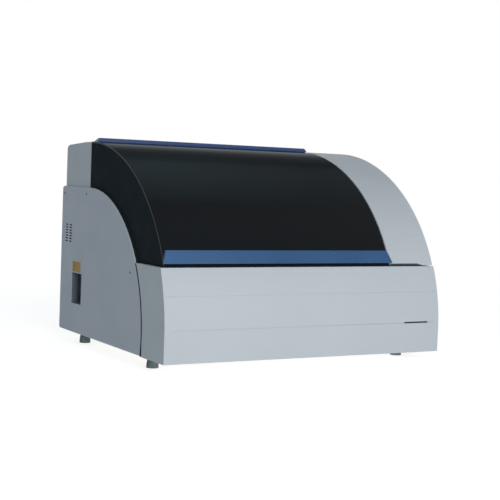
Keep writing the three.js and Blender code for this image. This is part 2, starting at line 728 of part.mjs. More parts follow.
// Parts that the probe and the mixer share: a housing, a lifting shaft and an arm along +y
const housing = ({ housing: outer, shaft, top }) =>
  cutBy(
    disc(outer, [0, 0], [seat, top]),
    disc(shaft + CLEAR, [0, 0], grow([seat, top], OVERRUN), SMALL_ROUND),
  );
const liftShaft = ({ shaft, foot, arm }) => disc(shaft, [0, 0], [foot, arm - CLEAR], SMALL_ROUND);
function swingArm({ hub, tip, reach, arm, thick }) {
  const steps = Array.from({ length: SMALL_ROUND / 2 + 1 }, (_, i) => (2 * Math.PI * i) / SMALL_ROUND);
  const heel = steps.map((angle) => point(-hub * Math.cos(angle), -hub * Math.sin(angle)));
  const toe = steps.map((angle) => point(tip * Math.cos(angle), reach + tip * Math.sin(angle)));
  return alongZ([...heel, ...toe], [arm, arm + thick]);
}

// Pipetting probe
const NEEDLE = { radius: 1.2, tip: 300, collar: 5, collarDrop: 12, facets: 8 };
const probePlace = station(...probeAt);
piece("probe_housing", housing(PROBE), "deck", probePlace);
piece("probe_shaft", liftShaft(PROBE), "steel", probePlace);
piece("probe_arm", swingArm(PROBE), "white", probePlace);
piece(
  "probe_needle",
  joined(
    disc(NEEDLE.radius, [0, PROBE.reach], [NEEDLE.tip, PROBE.arm - CLEAR], NEEDLE.facets),
    disc(
      NEEDLE.collar,
      [0, PROBE.reach],
      [PROBE.arm - CLEAR - NEEDLE.collarDrop, PROBE.arm - CLEAR],
      NEEDLE.facets,
    ),
  ),
  "steel",
  probePlace,
);

// Mixer, whose arm points to the front at rest, with the paddle's motor on top of the arm
const PADDLE = {
  motor: 9, motorHeight: 20, rod: 1.6, tip: 286, blade: 3.5, bladeThick: 0.8, bladeHeight: 14,
};
const mixerPlace = station(...mixerAt);
mixerPlace.rotation.z = Math.PI;
const mixerTop = MIXER.arm + MIXER.thick;
piece("mixer_housing", housing(MIXER), "deck", mixerPlace);
piece("mixer_shaft", liftShaft(MIXER), "steel", mixerPlace);
piece(
  "mixer_arm",
  joined(
    swingArm(MIXER),
    disc(PADDLE.motor, [0, MIXER.reach], [mixerTop - PADDLE.rod, mixerTop + PADDLE.motorHeight], SMALL_ROUND),
  ),
  "white",
  mixerPlace,
);
piece(
  "mixer_paddle",
  joined(
    disc(PADDLE.rod, [0, MIXER.reach], [PADDLE.tip, MIXER.arm - CLEAR], NEEDLE.facets),
    block(
      about(0, PADDLE.blade),
      about(MIXER.reach, PADDLE.bladeThick),
      [PADDLE.tip, PADDLE.tip + PADDLE.bladeHeight],
    ),
  ),
  "steel",
  mixerPlace,
);

// Cuvette washer: a lifting head with a row of nozzles over the ring of cuvettes
const WASH_HEAD = {
  bottom: 300, thick: 13, over: 3, half: 30, armHalf: 7, nozzles: 5, nozzle: 1.5, nozzleTip: 274,
};
const washPlace = station(reactionX, REACTION.y);
washPlace.rotation.z = WASH.angle;
const washSpot = [washReach, 0];
const washZ = [WASH_HEAD.bottom, WASH_HEAD.bottom + WASH_HEAD.thick];
const headX = grow([cuvetteInner, cuvetteOuter], WASH_HEAD.over);
piece(
  "wash_housing",
  cutBy(
    disc(WASH.housing, washSpot, [seat, WASH.top]),
    disc(WASH.shaft + CLEAR, washSpot, grow([seat, WASH.top], OVERRUN), SMALL_ROUND),
  ),
  "deck",
  washPlace,
);
const nozzleRow = Array.from({ length: WASH_HEAD.nozzles }, (_, i) => {
  const along = WASH_HEAD.half * ((2 * i + 1) / WASH_HEAD.nozzles - 1);
  const place = [(cuvetteInner + cuvetteOuter) / 2, along];
  const nozzleZ = [WASH_HEAD.nozzleTip, WASH_HEAD.bottom + WASH_HEAD.nozzle];
  return disc(WASH_HEAD.nozzle, place, nozzleZ, NEEDLE.facets);
});
piece(
  "wash_head",
  joined(
    block(headX, about(0, WASH_HEAD.half), washZ),
    block([headX[1] - WASH_HEAD.nozzle, washReach], about(0, WASH_HEAD.armHalf), washZ),
    disc(WASH.shaft + CLEAR, washSpot, washZ, SMALL_ROUND),
    disc(WASH.shaft, washSpot, [WASH.foot, washZ[1]], SMALL_ROUND),
    ...nozzleRow,
  ),
  "white",
  washPlace,
);

// Rinse cup for the probe, on the deck a quarter turn of the arm from its rest place
const cupTop = deckTop + CUP.rim;
piece(
  "rinse_cup",
  lathe(
    [
      [0, cupTop - CUP.depth - CUP.base],
      [CUP.outer, cupTop - CUP.depth - CUP.base],
      [CUP.outer, seat],
      [CUP.flange, seat],
      [CUP.flange, flangeTop],
      [CUP.outer, flangeTop],
      [CUP.outer, cupTop],
      [CUP.inner, cupTop],
      [CUP.inner, cupTop - CUP.depth],
      [0, cupTop - CUP.depth],
    ],
    SMALL_ROUND,
  ),
  "white",
  station(...cupAt),
);

// Syringe pump under the cowl: a frame with the barrel, and a carriage that draws the plunger down
const PUMP = {
  inset: 19, y: 185, half: 28, front: 24, back: 20, plate: 6, base: 4, shelf: 376, shelfThick: 5, barrel: 10,
  bore: 7, barrelFoot: 312, rod: 3, piston: 6.5, pistonTop: 366, pistonThick: 8, carriage: 284,
  carriageThick: 14, carriageHalf: 18,
};
const pumpPlace = station(cowlX[0] + PUMP.inset + PUMP.half, PUMP.y);
const pumpX = about(0, PUMP.half);
const pumpTop = PUMP.shelf + PUMP.shelfThick;
piece(
  "syringe_pump",
  cutBy(
    joined(
      block(pumpX, [-PUMP.front, PUMP.back + PUMP.plate], [seat, seat + PUMP.base]),
      block(pumpX, [PUMP.back, PUMP.back + PUMP.plate], [seat, pumpTop]),
      block(pumpX, [-PUMP.barrel, PUMP.back + PUMP.plate], [PUMP.shelf, pumpTop]),
      disc(PUMP.barrel, [0, 0], [PUMP.barrelFoot, pumpTop], SMALL_ROUND),
    ),
    disc(PUMP.bore, [0, 0], [PUMP.barrelFoot - OVERRUN, PUMP.shelf], SMALL_ROUND),
  ),
  "steel",
  pumpPlace,
);
piece(
  "syringe_plunger",
  joined(
    block(
      about(0, PUMP.carriageHalf),
      [-PUMP.barrel, PUMP.back - CLEAR],
      [PUMP.carriage, PUMP.carriage + PUMP.carriageThick],
    ),
    disc(PUMP.rod, [0, 0], [PUMP.carriage + PUMP.rod, PUMP.pistonTop - PUMP.rod], NEEDLE.facets),
    disc(PUMP.piston, [0, 0], [PUMP.pistonTop - PUMP.pistonThick, PUMP.pistonTop], SMALL_ROUND),
  ),
  "white",
  pumpPlace,
);

// Power supply and main board on the floor of the base pan
const SUPPLY = {
  side: 22, rear: 16, length: 170, depth: 130, height: 72, slots: 6, slot: 4, slotPitch: 22, cut: 3,
};
const onPan = panTop + CLEAR;
const supplyX = [panX[0] + SUPPLY.side, panX[0] + SUPPLY.side + SUPPLY.length];
const supplyY = [backFace - SUPPLY.rear - SUPPLY.depth, backFace - SUPPLY.rear];
const supplyTop = onPan + SUPPLY.height;
const supplySlots = Array.from({ length: SUPPLY.slots }, (_, i) => {
  const x = supplyX[0] + SUPPLY.slotPitch * (i + 1);
  const slotZ = [supplyTop - SUPPLY.cut, supplyTop + OVERRUN];
  return block([x, x + SUPPLY.slot], grow(supplyY, -SUPPLY.slotPitch), slotZ);
});
piece("power_supply", cutBy(block(supplyX, supplyY, [onPan, supplyTop]), ...supplySlots), "sheet");

const BOARD = {
  side: 52, rear: 21, length: 250, depth: 125, post: 4, postHeight: 10, thick: 1.6, inset: 10,
  chips: 4, chip: 24, chipHeight: 6, chipPitch: 54,
};
const boardX = [panX[1] - BOARD.side - BOARD.length, panX[1] - BOARD.side];
const boardY = [backFace - BOARD.rear - BOARD.depth, backFace - BOARD.rear];
const boardZ = onPan + BOARD.postHeight;
const boardTop = boardZ + BOARD.thick;
const boardPosts = grow(boardX, -BOARD.inset).flatMap((x) =>
  grow(boardY, -BOARD.inset).map((y) => disc(BOARD.post, [x, y], [onPan, boardTop], NEEDLE.facets)),
);
const chips = Array.from({ length: BOARD.chips }, (_, i) => {
  const x = boardX[0] + BOARD.chip + BOARD.chipPitch * i;
  const y = (boardY[0] + boardY[1]) / 2;
  return block([x, x + BOARD.chip], about(y, BOARD.chip / 2), [boardZ, boardTop + BOARD.chipHeight]);
});
piece(
  "main_board",
  joined(block(boardX, boardY, [boardZ, boardTop]), ...boardPosts, ...chips),
  "board",
);

// Rear panel with the fan's opening
const FAN = {
  side: 220, rise: 220, half: 46, depth: 25, bore: 42, strut: 2.5, plate: 3, motor: 15, rotorDepth: 19,
  blades: 7, bladeFrom: 12, bladeTo: 40, bladeThick: 2.4, bladeWidth: 16, pitch: Math.PI / 5,
};
const fanAt = [WIDTH - FAN.side, FOOT_HEIGHT + FAN.rise];
const REAR = { drop: 9, inset: 10.5 };
const rearX = [REAR.inset, WIDTH - REAR.inset];
const rearY = [backFace + CLEAR, backFace + CLEAR + SHEET];
const rearZ = [FOOT_HEIGHT, SHOULDER - REAR.drop];
piece(
  "rear_panel",
  cutBy(block(rearX, rearY, rearZ), rodY(FAN.bore, grow(rearY, OVERRUN), fanAt, ROUND)),
  "sheet",
);

// Fan: its frame with struts, its rotor, and the guard outside the rear panel
const fanPlace = station(fanAt[0], backFace - FAN.depth, fanAt[1]);
fanPlace.rotation.x = -Math.PI / 2;
const strutZ = [0, FAN.plate];
piece(
  "fan_frame",
  joined(
    cutBy(
      block(about(0, FAN.half), about(0, FAN.half), [0, FAN.depth]),
      disc(FAN.bore, [0, 0], grow([0, FAN.depth], OVERRUN)),
    ),
    disc(FAN.motor, [0, 0], strutZ, SMALL_ROUND),
    block(about(0, FAN.half - FAN.strut), about(0, FAN.strut), strutZ),
    block(about(0, FAN.strut), about(0, FAN.half - FAN.strut), strutZ),
  ),
  "black",
  fanPlace,
);
const rotorZ = [FAN.plate + CLEAR, FAN.plate + CLEAR + FAN.rotorDepth];
function blade(angle) {
  const box = new THREE.BoxGeometry(FAN.bladeTo - FAN.bladeFrom, FAN.bladeThick, FAN.bladeWidth);
  box.rotateX(FAN.pitch).translate((FAN.bladeFrom + FAN.bladeTo) / 2, 0, (rotorZ[0] + rotorZ[1]) / 2);
  return solidOf(box.rotateZ(angle));
}
piece(
  "fan_rotor",
  joined(disc(FAN.motor, [0, 0], rotorZ, SMALL_ROUND), ...allRound(FAN.blades, blade)),
  "black",
  fanPlace,
);

const GUARD = { rings: 4, pitch: 11, first: 8, wire: 2, thick: 2.4, bar: 1.5 };
const guardZ = [FAN.depth + CLEAR + SHEET + CLEAR, FAN.depth + CLEAR + SHEET + CLEAR + GUARD.thick];
const guardRings = Array.from({ length: GUARD.rings }, (_, i) => {
  const radius = GUARD.first + GUARD.pitch * i;
  return lathe([
    [radius, guardZ[0]],
    [radius + GUARD.wire, guardZ[0]],
    [radius + GUARD.wire, guardZ[1]],
    [radius, guardZ[1]],
  ], SMALL_ROUND);
});
const guardReach = FAN.half + GUARD.bar;
piece(
  "fan_guard",
  joined(
    block(about(0, guardReach), about(0, GUARD.bar), guardZ),
    block(about(0, GUARD.bar), about(0, guardReach), guardZ),
    ...guardRings,
  ),
  "steel",
  fanPlace,
);

// Connector plate on the rear panel: four hose nipples and a data socket
const PORTS = {
  x: 190, rise: 88, length: 190, height: 36, thick: 2.4, nipples: 4, nipple: 5, pitch: 26, reach: 9,
  socketAt: 140, socket: 32, socketHeight: 12, socketReach: 6,
};
const portsY = [rearY[1] + CLEAR, rearY[1] + CLEAR + PORTS.thick];
const portsZ = [FOOT_HEIGHT + PORTS.rise, FOOT_HEIGHT + PORTS.rise + PORTS.height];
const portsMiddle = (portsZ[0] + portsZ[1]) / 2;
const socketX = PORTS.x + PORTS.socketAt;
const nipples = Array.from({ length: PORTS.nipples }, (_, i) =>
  rodY(
    PORTS.nipple,
    [portsY[0], portsY[1] + PORTS.reach - PORTS.thick],
    [PORTS.x + PORTS.pitch * (i + 1), portsMiddle],
  ),
);
piece(
  "connector_plate",
  joined(
    block([PORTS.x, PORTS.x + PORTS.length], portsY, portsZ),
    block(
      [socketX, socketX + PORTS.socket],
      [portsY[0], portsY[1] + PORTS.socketReach],
      about(portsMiddle, PORTS.socketHeight / 2),
    ),
    ...nipples,
  ),
  "black",
);

// Rear cover: a box-shaped cap whose front wall is also the back of the chamber. Its top has a level
// ledge for the hinges, then slopes down to a rounded rear edge
const COVER = {
  front: 2, rear: 6, drop: 1, lap: 6, wallFoot: 14, ledge: 36, slopeFall: 7,
  edgeRun: 26, edgeFall: 12, edgeSteps: 6,
};
const coverTop = CROWN - COVER.drop;
const coverFoot = SHOULDER - CHASSIS.inset + CLEAR;
const coverX = rearX;
const coverInnerX = grow(coverX, -SKIN);
const coverY = [SWEEP + COVER.front, DEPTH - COVER.rear];
const edgeTop = coverTop - COVER.slopeFall;
function coverOutline(inset, low) {
  const edge = Array.from({ length: COVER.edgeSteps + 1 }, (_, i) => {
    const angle = (Math.PI / 2) * (1 - i / COVER.edgeSteps);
    return point(
      coverY[1] - COVER.edgeRun + (COVER.edgeRun - inset) * Math.cos(angle),
      edgeTop - COVER.edgeFall + (COVER.edgeFall - inset) * Math.sin(angle),
    );
  });
  return [
    point(coverY[0] + inset, low),
    point(coverY[0] + inset, coverTop - inset),
    point(coverY[0] + COVER.ledge, coverTop - inset),
    ...edge,
    point(coverY[1] - inset, low),
  ];
}
piece(
  "rear_cover",
  joined(
    cutBy(
      alongX(coverOutline(0, coverFoot), coverX),
      alongX(coverOutline(SKIN, coverFoot - OVERRUN), coverInnerX),
    ),
    block(coverInnerX, [coverY[1] - SKIN, coverY[1]], [rearZ[1] - COVER.lap, coverFoot + SKIN]),
    block(deckX, [coverY[0], coverY[0] + SKIN], [deckBottom + COVER.wallFoot, coverFoot + SKIN]),
  ),
  "cover",
);

// Right cowl: the fixed end of the front curve, with a wall beside the hood
const HOOD = { skin: 4, cheek: 3.5, cheekBand: 25 };
const hoodX = [REAR.inset, hoodRight];
const hoodFoot = SILL + GAP;
const COWL = { grooveRise: 87, grooveInset: [9, 31], grooveWidth: 1.4, grooveDepth: 1 };
const cowlGrooveZ = hoodFoot + COWL.grooveRise;
const curveOutline = (inset) => [
  ...frontCurve(hoodFoot, CROWN, inset),
  point(SWEEP, hoodFoot),
];
const openCurve = (inset, low) => [
  ...frontCurve(low, CROWN, inset),
  point(SWEEP + OVERRUN, CROWN - inset),
  point(SWEEP + OVERRUN, low),
];
const panelPassage = [
  ...sideArc(hoodFoot - OVERRUN, SHOULDER, GAP),
  point(DEPTH, SHOULDER + GAP),
  point(DEPTH, hoodFoot - OVERRUN),
];
const wallY = [FASCIA.ledge + GAP, deckY[1] - DECK.lip - CLEAR];
piece(
  "right_cowl",
  cutBy(
    joined(
      cutBy(
        alongX(curveOutline(0), cowlX),
        alongX(openCurve(SKIN, hoodFoot - OVERRUN), grow(cowlX, -SKIN)),
      ),
      block([cowlX[0], cowlX[0] + SKIN], wallY, [seat, hoodFoot + OVERRUN]),
    ),
    alongX(panelPassage, [rearX[1], WIDTH + OVERRUN]),
    block(
      [cowlX[0] + COWL.grooveInset[0], cowlX[1] - COWL.grooveInset[1]],
      [0, frontAt(cowlGrooveZ) + COWL.grooveDepth],
      about(cowlGrooveZ, COWL.grooveWidth / 2),
    ),
  ),
  "cover",
);

// Hood: a curved skin with a cheek plate under each end
piece(
  "hood_shell",
  cutBy(
    alongX(curveOutline(0), hoodX),
    alongX(openCurve(HOOD.skin, hoodFoot - OVERRUN), grow(hoodX, OVERRUN)),
  ),
  "hood",
);
const underSkin = HOOD.skin + CLEAR;
const cheekOutline = [
  ...frontCurve(hoodFoot, CROWN - underSkin, underSkin),
  ...sideArc(hoodFoot, SHOULDER - HOOD.cheekBand, -HOOD.cheekBand).reverse(),
];
cheekOutline.splice(CURVE_STEPS + 1, 0, point(SWEEP, SHOULDER - HOOD.cheekBand));
piece("hood_left_cheek", alongX(cheekOutline, [hoodX[0], hoodX[0] + HOOD.cheek]), "black");
piece("hood_right_cheek", alongX(cheekOutline, [hoodX[1] - HOOD.cheek, hoodX[1]]), "black");

// Blue bars across the hood: the lower one is the handle, the upper one covers the hinges
const LOWER_BAR = { rise: 7, height: 33, proud: 8, leftOver: 3.5, rightOver: 8, slant: 11, steps: 4 };
const UPPER_BAR = {
  height: 11, depth: 23, rear: 2, leftInset: 6, rightOver: 14, leftSlant: 13, rightSlant: 5, round: 6,
};
const lowerBarX = [hoodX[0] - LOWER_BAR.leftOver, hoodX[1] + LOWER_BAR.rightOver];
const lowerBarZ = [hoodFoot + LOWER_BAR.rise, hoodFoot + LOWER_BAR.rise + LOWER_BAR.height];
const upperBarX = [hoodX[0] + UPPER_BAR.leftInset, hoodX[1] + UPPER_BAR.rightOver];
const upperBarY = [SWEEP - UPPER_BAR.rear - UPPER_BAR.depth, SWEEP - UPPER_BAR.rear];
const upperBarZ = [CROWN + CLEAR, CROWN + UPPER_BAR.height];
const lowerBarOutline = [
  ...frontCurve(...lowerBarZ, -LOWER_BAR.proud, LOWER_BAR.steps),
  ...frontCurve(...lowerBarZ, -CLEAR, LOWER_BAR.steps).reverse(),
];
// The waste beyond a bar's slanted end, from x at the bar's foot in by the slant at its top
function barEnd([foot, top], x, slant, out) {
  const past = out * OVERRUN * 2;
  const outline = [
    point(x, foot - OVERRUN),
    point(x, foot),
    point(x - out * slant, top),
    point(x - out * slant, top + OVERRUN),
    point(x + past, top + OVERRUN),
    point(x + past, foot - OVERRUN),
  ];
  if (out > 0) outline.reverse();
  const pushed = new THREE.ExtrudeGeometry(new THREE.Shape(outline), { depth: SWEEP, bevelEnabled: false });
  return solidOf(pushed.rotateX(Math.PI / 2).translate(0, SWEEP, 0));
}
piece(
  "hood_lower_bar",
  cutBy(
    alongX(lowerBarOutline, lowerBarX),
    barEnd(lowerBarZ, lowerBarX[0], LOWER_BAR.slant, -1),
    barEnd(lowerBarZ, lowerBarX[1], LOWER_BAR.slant, 1),
  ),
  "blue",
);

// Hinges: a base with its pin on the rear cover, and a leaf between the hood's skin and the upper bar
const HINGE = {
  inset: 167, behind: 4, barrel: 4, pin: 1.5, knuckle: 10, half: 30, leaf: 2, leafInset: 2,
  baseGap: 2, baseDepth: 24, overlap: 2,
};
const hingeXs = [hoodX[0] + HINGE.inset, hoodX[1] - HINGE.inset];
const hingeAxis = [SWEEP + HINGE.behind, CROWN + HINGE.barrel];
const basePlateY = hingeAxis[0] + HINGE.barrel + HINGE.baseGap;
const coverSeat = coverTop + CLEAR;
const leafZ = [CROWN + CLEAR, CROWN + CLEAR + HINGE.leaf];
const leafFront = upperBarY[0] + HINGE.leafInset;
const upperBarOutline = [
  point(upperBarY[0], upperBarZ[0]),
  point(upperBarY[1], upperBarZ[0]),
  point(upperBarY[1], upperBarZ[1]),
  point(upperBarY[0] + UPPER_BAR.round, upperBarZ[1]),
  point(upperBarY[0], upperBarZ[1] - UPPER_BAR.round),
];
piece(
  "hood_upper_bar",
  cutBy(
    alongX(upperBarOutline, upperBarX),
    barEnd(upperBarZ, upperBarX[0], UPPER_BAR.leftSlant, -1),
    barEnd(upperBarZ, upperBarX[1], UPPER_BAR.rightSlant, 1),
    ...hingeXs.map((x) =>
      block(
        about(x, HINGE.half + CLEAR),
        [leafFront - CLEAR, upperBarY[1] + OVERRUN],
        [upperBarZ[0] - OVERRUN, hingeAxis[1] + CLEAR],
      ),
    ),
  ),
  "blue",
);
for (const [i, end] of ["left", "right"].entries()) {
  const place = station(hingeXs[i], 0);
  piece(
    `hinge_base_${end}`,
    joined(
      rodX(HINGE.barrel, about(0, HINGE.knuckle), hingeAxis),
      rodX(HINGE.pin, about(0, HINGE.half), hingeAxis, NEEDLE.facets),
      block(
        about(0, HINGE.knuckle),
        [hingeAxis[0], basePlateY + HINGE.overlap],
        [coverSeat, hingeAxis[1]],
      ),
      block(
        about(0, HINGE.half),
        [basePlateY, basePlateY + HINGE.baseDepth],
        [coverSeat, coverSeat + HINGE.leaf],
      ),
    ),
    "steel",
    place,
  );
  const sides = [-1, 1].map((side) =>
    [side * (HINGE.knuckle + CLEAR), side * HINGE.half].sort((a, b) => a - b),
  );
  piece(
    `hinge_leaf_${end}`,
    cutBy(
      joined(
        block(about(0, HINGE.half), [leafFront, upperBarY[1]], leafZ),
        ...sides.map((span) =>
          joined(
            rodX(HINGE.barrel, span, hingeAxis),
            block(span, [upperBarY[1] - HINGE.overlap, hingeAxis[0]], [leafZ[0], hingeAxis[1]]),
          ),
        ),
      ),
      rodX(HINGE.pin + CLEAR, about(0, HINGE.half + OVERRUN), hingeAxis, NEEDLE.facets),
    ),
    "steel",
    place,
  );
}

export default group;
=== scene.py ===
"""Finishes, fine pieces, light and camera around the frame of a benchtop chemistry analyzer.

Lengths are in metres, in the frame's own axes: +X to the right, +Y to the back, +Z up. Colours of
finishes are sRGB shares from 0 to 1, which linear() turns into linear ones. Colours of the lights, the
world and the floor's glow are linear as they stand.
"""
import math

import bmesh
import bpy
from mathutils import Matrix, Vector


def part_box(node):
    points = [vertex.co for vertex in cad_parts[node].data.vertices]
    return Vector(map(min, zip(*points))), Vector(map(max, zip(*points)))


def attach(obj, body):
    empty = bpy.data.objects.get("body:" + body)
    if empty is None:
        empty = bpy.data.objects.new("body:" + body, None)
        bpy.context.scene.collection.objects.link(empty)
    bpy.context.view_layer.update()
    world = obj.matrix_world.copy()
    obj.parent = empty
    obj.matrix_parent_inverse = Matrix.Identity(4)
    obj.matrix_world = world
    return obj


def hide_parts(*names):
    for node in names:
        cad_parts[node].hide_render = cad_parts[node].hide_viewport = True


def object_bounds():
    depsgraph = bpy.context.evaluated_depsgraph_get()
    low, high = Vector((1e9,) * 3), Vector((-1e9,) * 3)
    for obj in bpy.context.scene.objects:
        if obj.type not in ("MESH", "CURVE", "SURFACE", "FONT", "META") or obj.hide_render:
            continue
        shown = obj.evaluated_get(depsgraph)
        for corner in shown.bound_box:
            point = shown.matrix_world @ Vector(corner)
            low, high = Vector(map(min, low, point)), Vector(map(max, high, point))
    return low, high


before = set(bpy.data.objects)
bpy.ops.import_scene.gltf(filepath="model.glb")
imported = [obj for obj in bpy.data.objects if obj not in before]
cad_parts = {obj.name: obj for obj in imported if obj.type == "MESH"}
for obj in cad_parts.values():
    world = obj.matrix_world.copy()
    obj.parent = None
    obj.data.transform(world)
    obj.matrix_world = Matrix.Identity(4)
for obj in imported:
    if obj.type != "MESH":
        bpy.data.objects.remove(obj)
cad_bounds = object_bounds()
MM = 0.001
UP, BACK, LEFT, RIGHT = (0, 0, 1), (0, 1, 0), (-1, 0, 0), (1, 0, 0)


def millimetres(points):
    """Pairs of lengths given in millimetres, in metres."""
    return [(a * MM, b * MM) for a, b in points]


# Materials


def linear(colour):
    """An sRGB colour as linear shares, with alpha."""
    channels = [c / 12.92 if c <= 0.04045 else ((c + 0.055) / 1.055) ** 2.4 for c in colour]
    return (*channels, 1.0)


class Finish:
    """A material and short calls that add nodes to it."""

    def __init__(self, name, colour, roughness, metallic=0.0, level=0.5):
        self.material = bpy.data.materials.new(name)
        self.material.use_nodes = True
        self.tree = self.material.node_tree
        self.shader = self.tree.nodes["Principled BSDF"]
        self.shader.inputs["Base Color"].default_value = linear(colour)
        self.shader.inputs["Roughness"].default_value = roughness
        self.shader.inputs["Metallic"].default_value = metallic
        self.shader.inputs["Specular IOR Level"].default_value = level
        self.colour = colour
        self.roughness = roughness
        coordinates = self.tree.nodes.new("ShaderNodeTexCoord")
        self.place = coordinates.outputs["Object"]
        self.normal = coordinates.outputs["Normal"]

    def add(self, kind, **settings):
        node = self.tree.nodes.new(kind)
        for key, value in settings.items():
            setattr(node, key, value)
        return node

    def link(self, source, target):
        self.tree.links.new(source, target)

    def math(self, operation, first, second=None):
        """A Math node's value for one socket or two."""
        node = self.add("ShaderNodeMath", operation=operation)
        self.link(first, node.inputs[0])
        if second is not None:
            self.link(second, node.inputs[1])
        return node.outputs["Value"]

    def axis(self, source, name):
        """One coordinate of a vector socket."""
        split = self.add("ShaderNodeSeparateXYZ")
        self.link(source, split.inputs["Vector"])
        return split.outputs[name]

    def sideways(self):
        """1 on faces that look to the left or right, and 0 on those square to them."""
        return self.math("ABSOLUTE", self.axis(self.normal, "X"))

    def noise(self, scale, detail=2.0, stretch=None):
        """Noise over the object, drawn out along an axis where stretch says so."""
        node = self.add("ShaderNodeTexNoise")
        node.inputs["Scale"].default_value = scale
        node.inputs["Detail"].default_value = detail
        if stretch:
            mapping = self.add("ShaderNodeMapping")
            mapping.inputs["Scale"].default_value = stretch
            self.link(self.place, mapping.inputs["Vector"])
            self.link(mapping.outputs["Vector"], node.inputs["Vector"])
        else:
            self.link(self.place, node.inputs["Vector"])
        return node.outputs["Fac"]

    def spread(self, source, low, high, start=0.35, end=0.65):
        """Maps the source's stretch from start to end, by default a noise's middle, to low to high."""
        node = self.add("ShaderNodeMapRange")
        node.inputs["From Min"].default_value = start
        node.inputs["From Max"].default_value = end
        node.inputs["To Min"].default_value = low
        node.inputs["To Max"].default_value = high
        self.link(source, node.inputs["Value"])
        return node.outputs["Result"]

    def between(self, source, start, end):
        """0 where the source is at start and 1 where it is at end."""
        return self.spread(source, 0.0, 1.0, start, end)

    def mix(self, factor, first, second):
        """Colour between two colours or colour sockets."""
        node = self.add("ShaderNodeMix", data_type="RGBA")
        self.link(factor, node.inputs["Factor"])
        for name, value in (("A", first), ("B", second)):
            socket = [s for s in node.inputs if s.name == name and s.type == "RGBA"][0]
            if isinstance(value, tuple):
                socket.default_value = linear(value)
            else:
                self.link(value, socket)
        return [s for s in node.outputs if s.type == "RGBA"][0]

    def paint_with(self, colour):
        self.link(colour, self.shader.inputs["Base Color"])

    def tint(self, amount, scale):
        """Large, faint clouds of lighter and darker colour."""
        dark = tuple(c * (1 - amount) for c in self.colour)
        light = tuple(min(1.0, c * (1 + amount)) for c in self.colour)
        clouds = self.spread(self.noise(scale, detail=3.0), 0.0, 1.0)
        result = self.mix(clouds, dark, light)
        self.paint_with(result)
        return result

    def blotch(self, amount, scale, stretch=None):
        """Roughness that wanders, as on a surface that hands have touched."""
        low, high = self.roughness - amount, self.roughness + amount
        value = self.spread(self.noise(scale, detail=4.0, stretch=stretch), low, high)
        self.link(value, self.shader.inputs["Roughness"])

    def grain(self, scale, depth, stretch=None):
        """Fine relief of the given depth."""
        bump = self.add("ShaderNodeBump")
        bump.inputs["Strength"].default_value = 1.0
        bump.inputs["Distance"].default_value = depth
        self.link(self.noise(scale, stretch=stretch), bump.inputs["Height"])
        self.link(bump.outputs["Normal"], self.shader.inputs["Normal"])

    def mould(self, wear=0.08):
        """The uneven gloss and spark-eroded grain of moulded plastic."""
        self.blotch(wear, scale=30.0)
        self.grain(scale=1400.0, depth=0.03 * MM)


CLOUDS = 9.0  # scale of the colour clouds on every moulding


def paint(name, colour):
    """Sprayed, finely pebbled instrument paint."""
    finish = Finish(name, colour, roughness=0.5, level=0.3)
    finish.tint(amount=0.006, scale=4.0)
    finish.blotch(amount=0.04, scale=12.0)
    finish.grain(scale=900.0, depth=0.04 * MM)
    return finish.material


def moulded(name, colour, roughness=0.5, level=0.4, cloud=0.03):
    """Injection-moulded plastic."""
    finish = Finish(name, colour, roughness, level=level)
    finish.tint(cloud, CLOUDS)
    finish.mould()
    return finish.material


def tinted_hood(name):
    """Thick tinted acrylic, near black and polished, with paler sawn ends.

    It shines less the more it faces up. Its crown has a painted reflection, paler towards the left, and a
    painted highlight band on top.
    """
    finish = Finish(name, (0.085, 0.1, 0.11), roughness=0.06)
    rise = finish.axis(finish.normal, "Z")
    shine = finish.spread(rise, low=0.045, high=0.0015, start=0.6, end=0.92)
    finish.link(shine, finish.shader.inputs["Specular IOR Level"])
    # Painted reflection: the crown is painted paler between these rises, more so towards the left.
    lower_edge = finish.between(rise, 0.7, 0.89)
    upper_edge = finish.spread(rise, low=1.0, high=0.2, start=0.91, end=0.95)
    crown = finish.math("MULTIPLY", lower_edge, upper_edge)
    along = finish.spread(finish.axis(finish.place, "X"), low=1.0, high=0.3, start=-0.3, end=0.15)
    pale = finish.math("MULTIPLY", crown, along)
    body = finish.mix(pale, finish.tint(amount=0.03, scale=3.0), (0.162, 0.21, 0.222))
    # Painted highlight: a pale band where the surface faces nearly straight up, under the upper bar.
    body = finish.mix(finish.between(rise, 0.965, 0.988), body, (0.225, 0.32, 0.36))
    sawn = finish.between(finish.sideways(), 0.25, 0.9)
    finish.paint_with(finish.mix(sawn, body, (0.24, 0.275, 0.29)))
    finish.blotch(amount=0.02, scale=6.0, stretch=(1.0, 0.35, 0.35))
    return finish.material


def bar(name, colour, level):
    """Blue moulding with painted light: a little lighter towards its left end."""
    finish = Finish(name, colour, roughness=0.42, level=level)
    # Painted light: the colour is lifted towards the left end.
    left_light_lift = 0.05
    left_lit_colour = tuple(c + left_light_lift for c in colour)
    along = finish.between(finish.axis(finish.place, "X"), -0.42, -0.1)
    finish.paint_with(finish.mix(along, left_lit_colour, finish.tint(0.02, CLOUDS)))
    finish.mould(wear=0.06)
    return finish.material


def recess_liner(name):
    """Grey moulding whose floor, facing out of the side panel, is darker than its walls: painted shade."""
    finish = Finish(name, (0.46, 0.51, 0.55), roughness=0.55, level=0.2)
    # Painted shade: faces that look sideways, the recess's floor, are darkened.
    floor = finish.between(finish.sideways(), 0.5, 0.8)
    finish.paint_with(finish.mix(floor, finish.tint(0.03, CLOUDS), (0.2, 0.24, 0.27)))
    finish.mould()
    return finish.material


def brushed(name, colour, roughness, stretch):
    """Metal with fine lines along the axis that stretch draws out."""
    finish = Finish(name, colour, roughness, metallic=1.0)
    finish.blotch(amount=0.08, scale=200.0, stretch=stretch)
    finish.grain(scale=600.0, depth=0.02 * MM, stretch=stretch)
    return finish.material


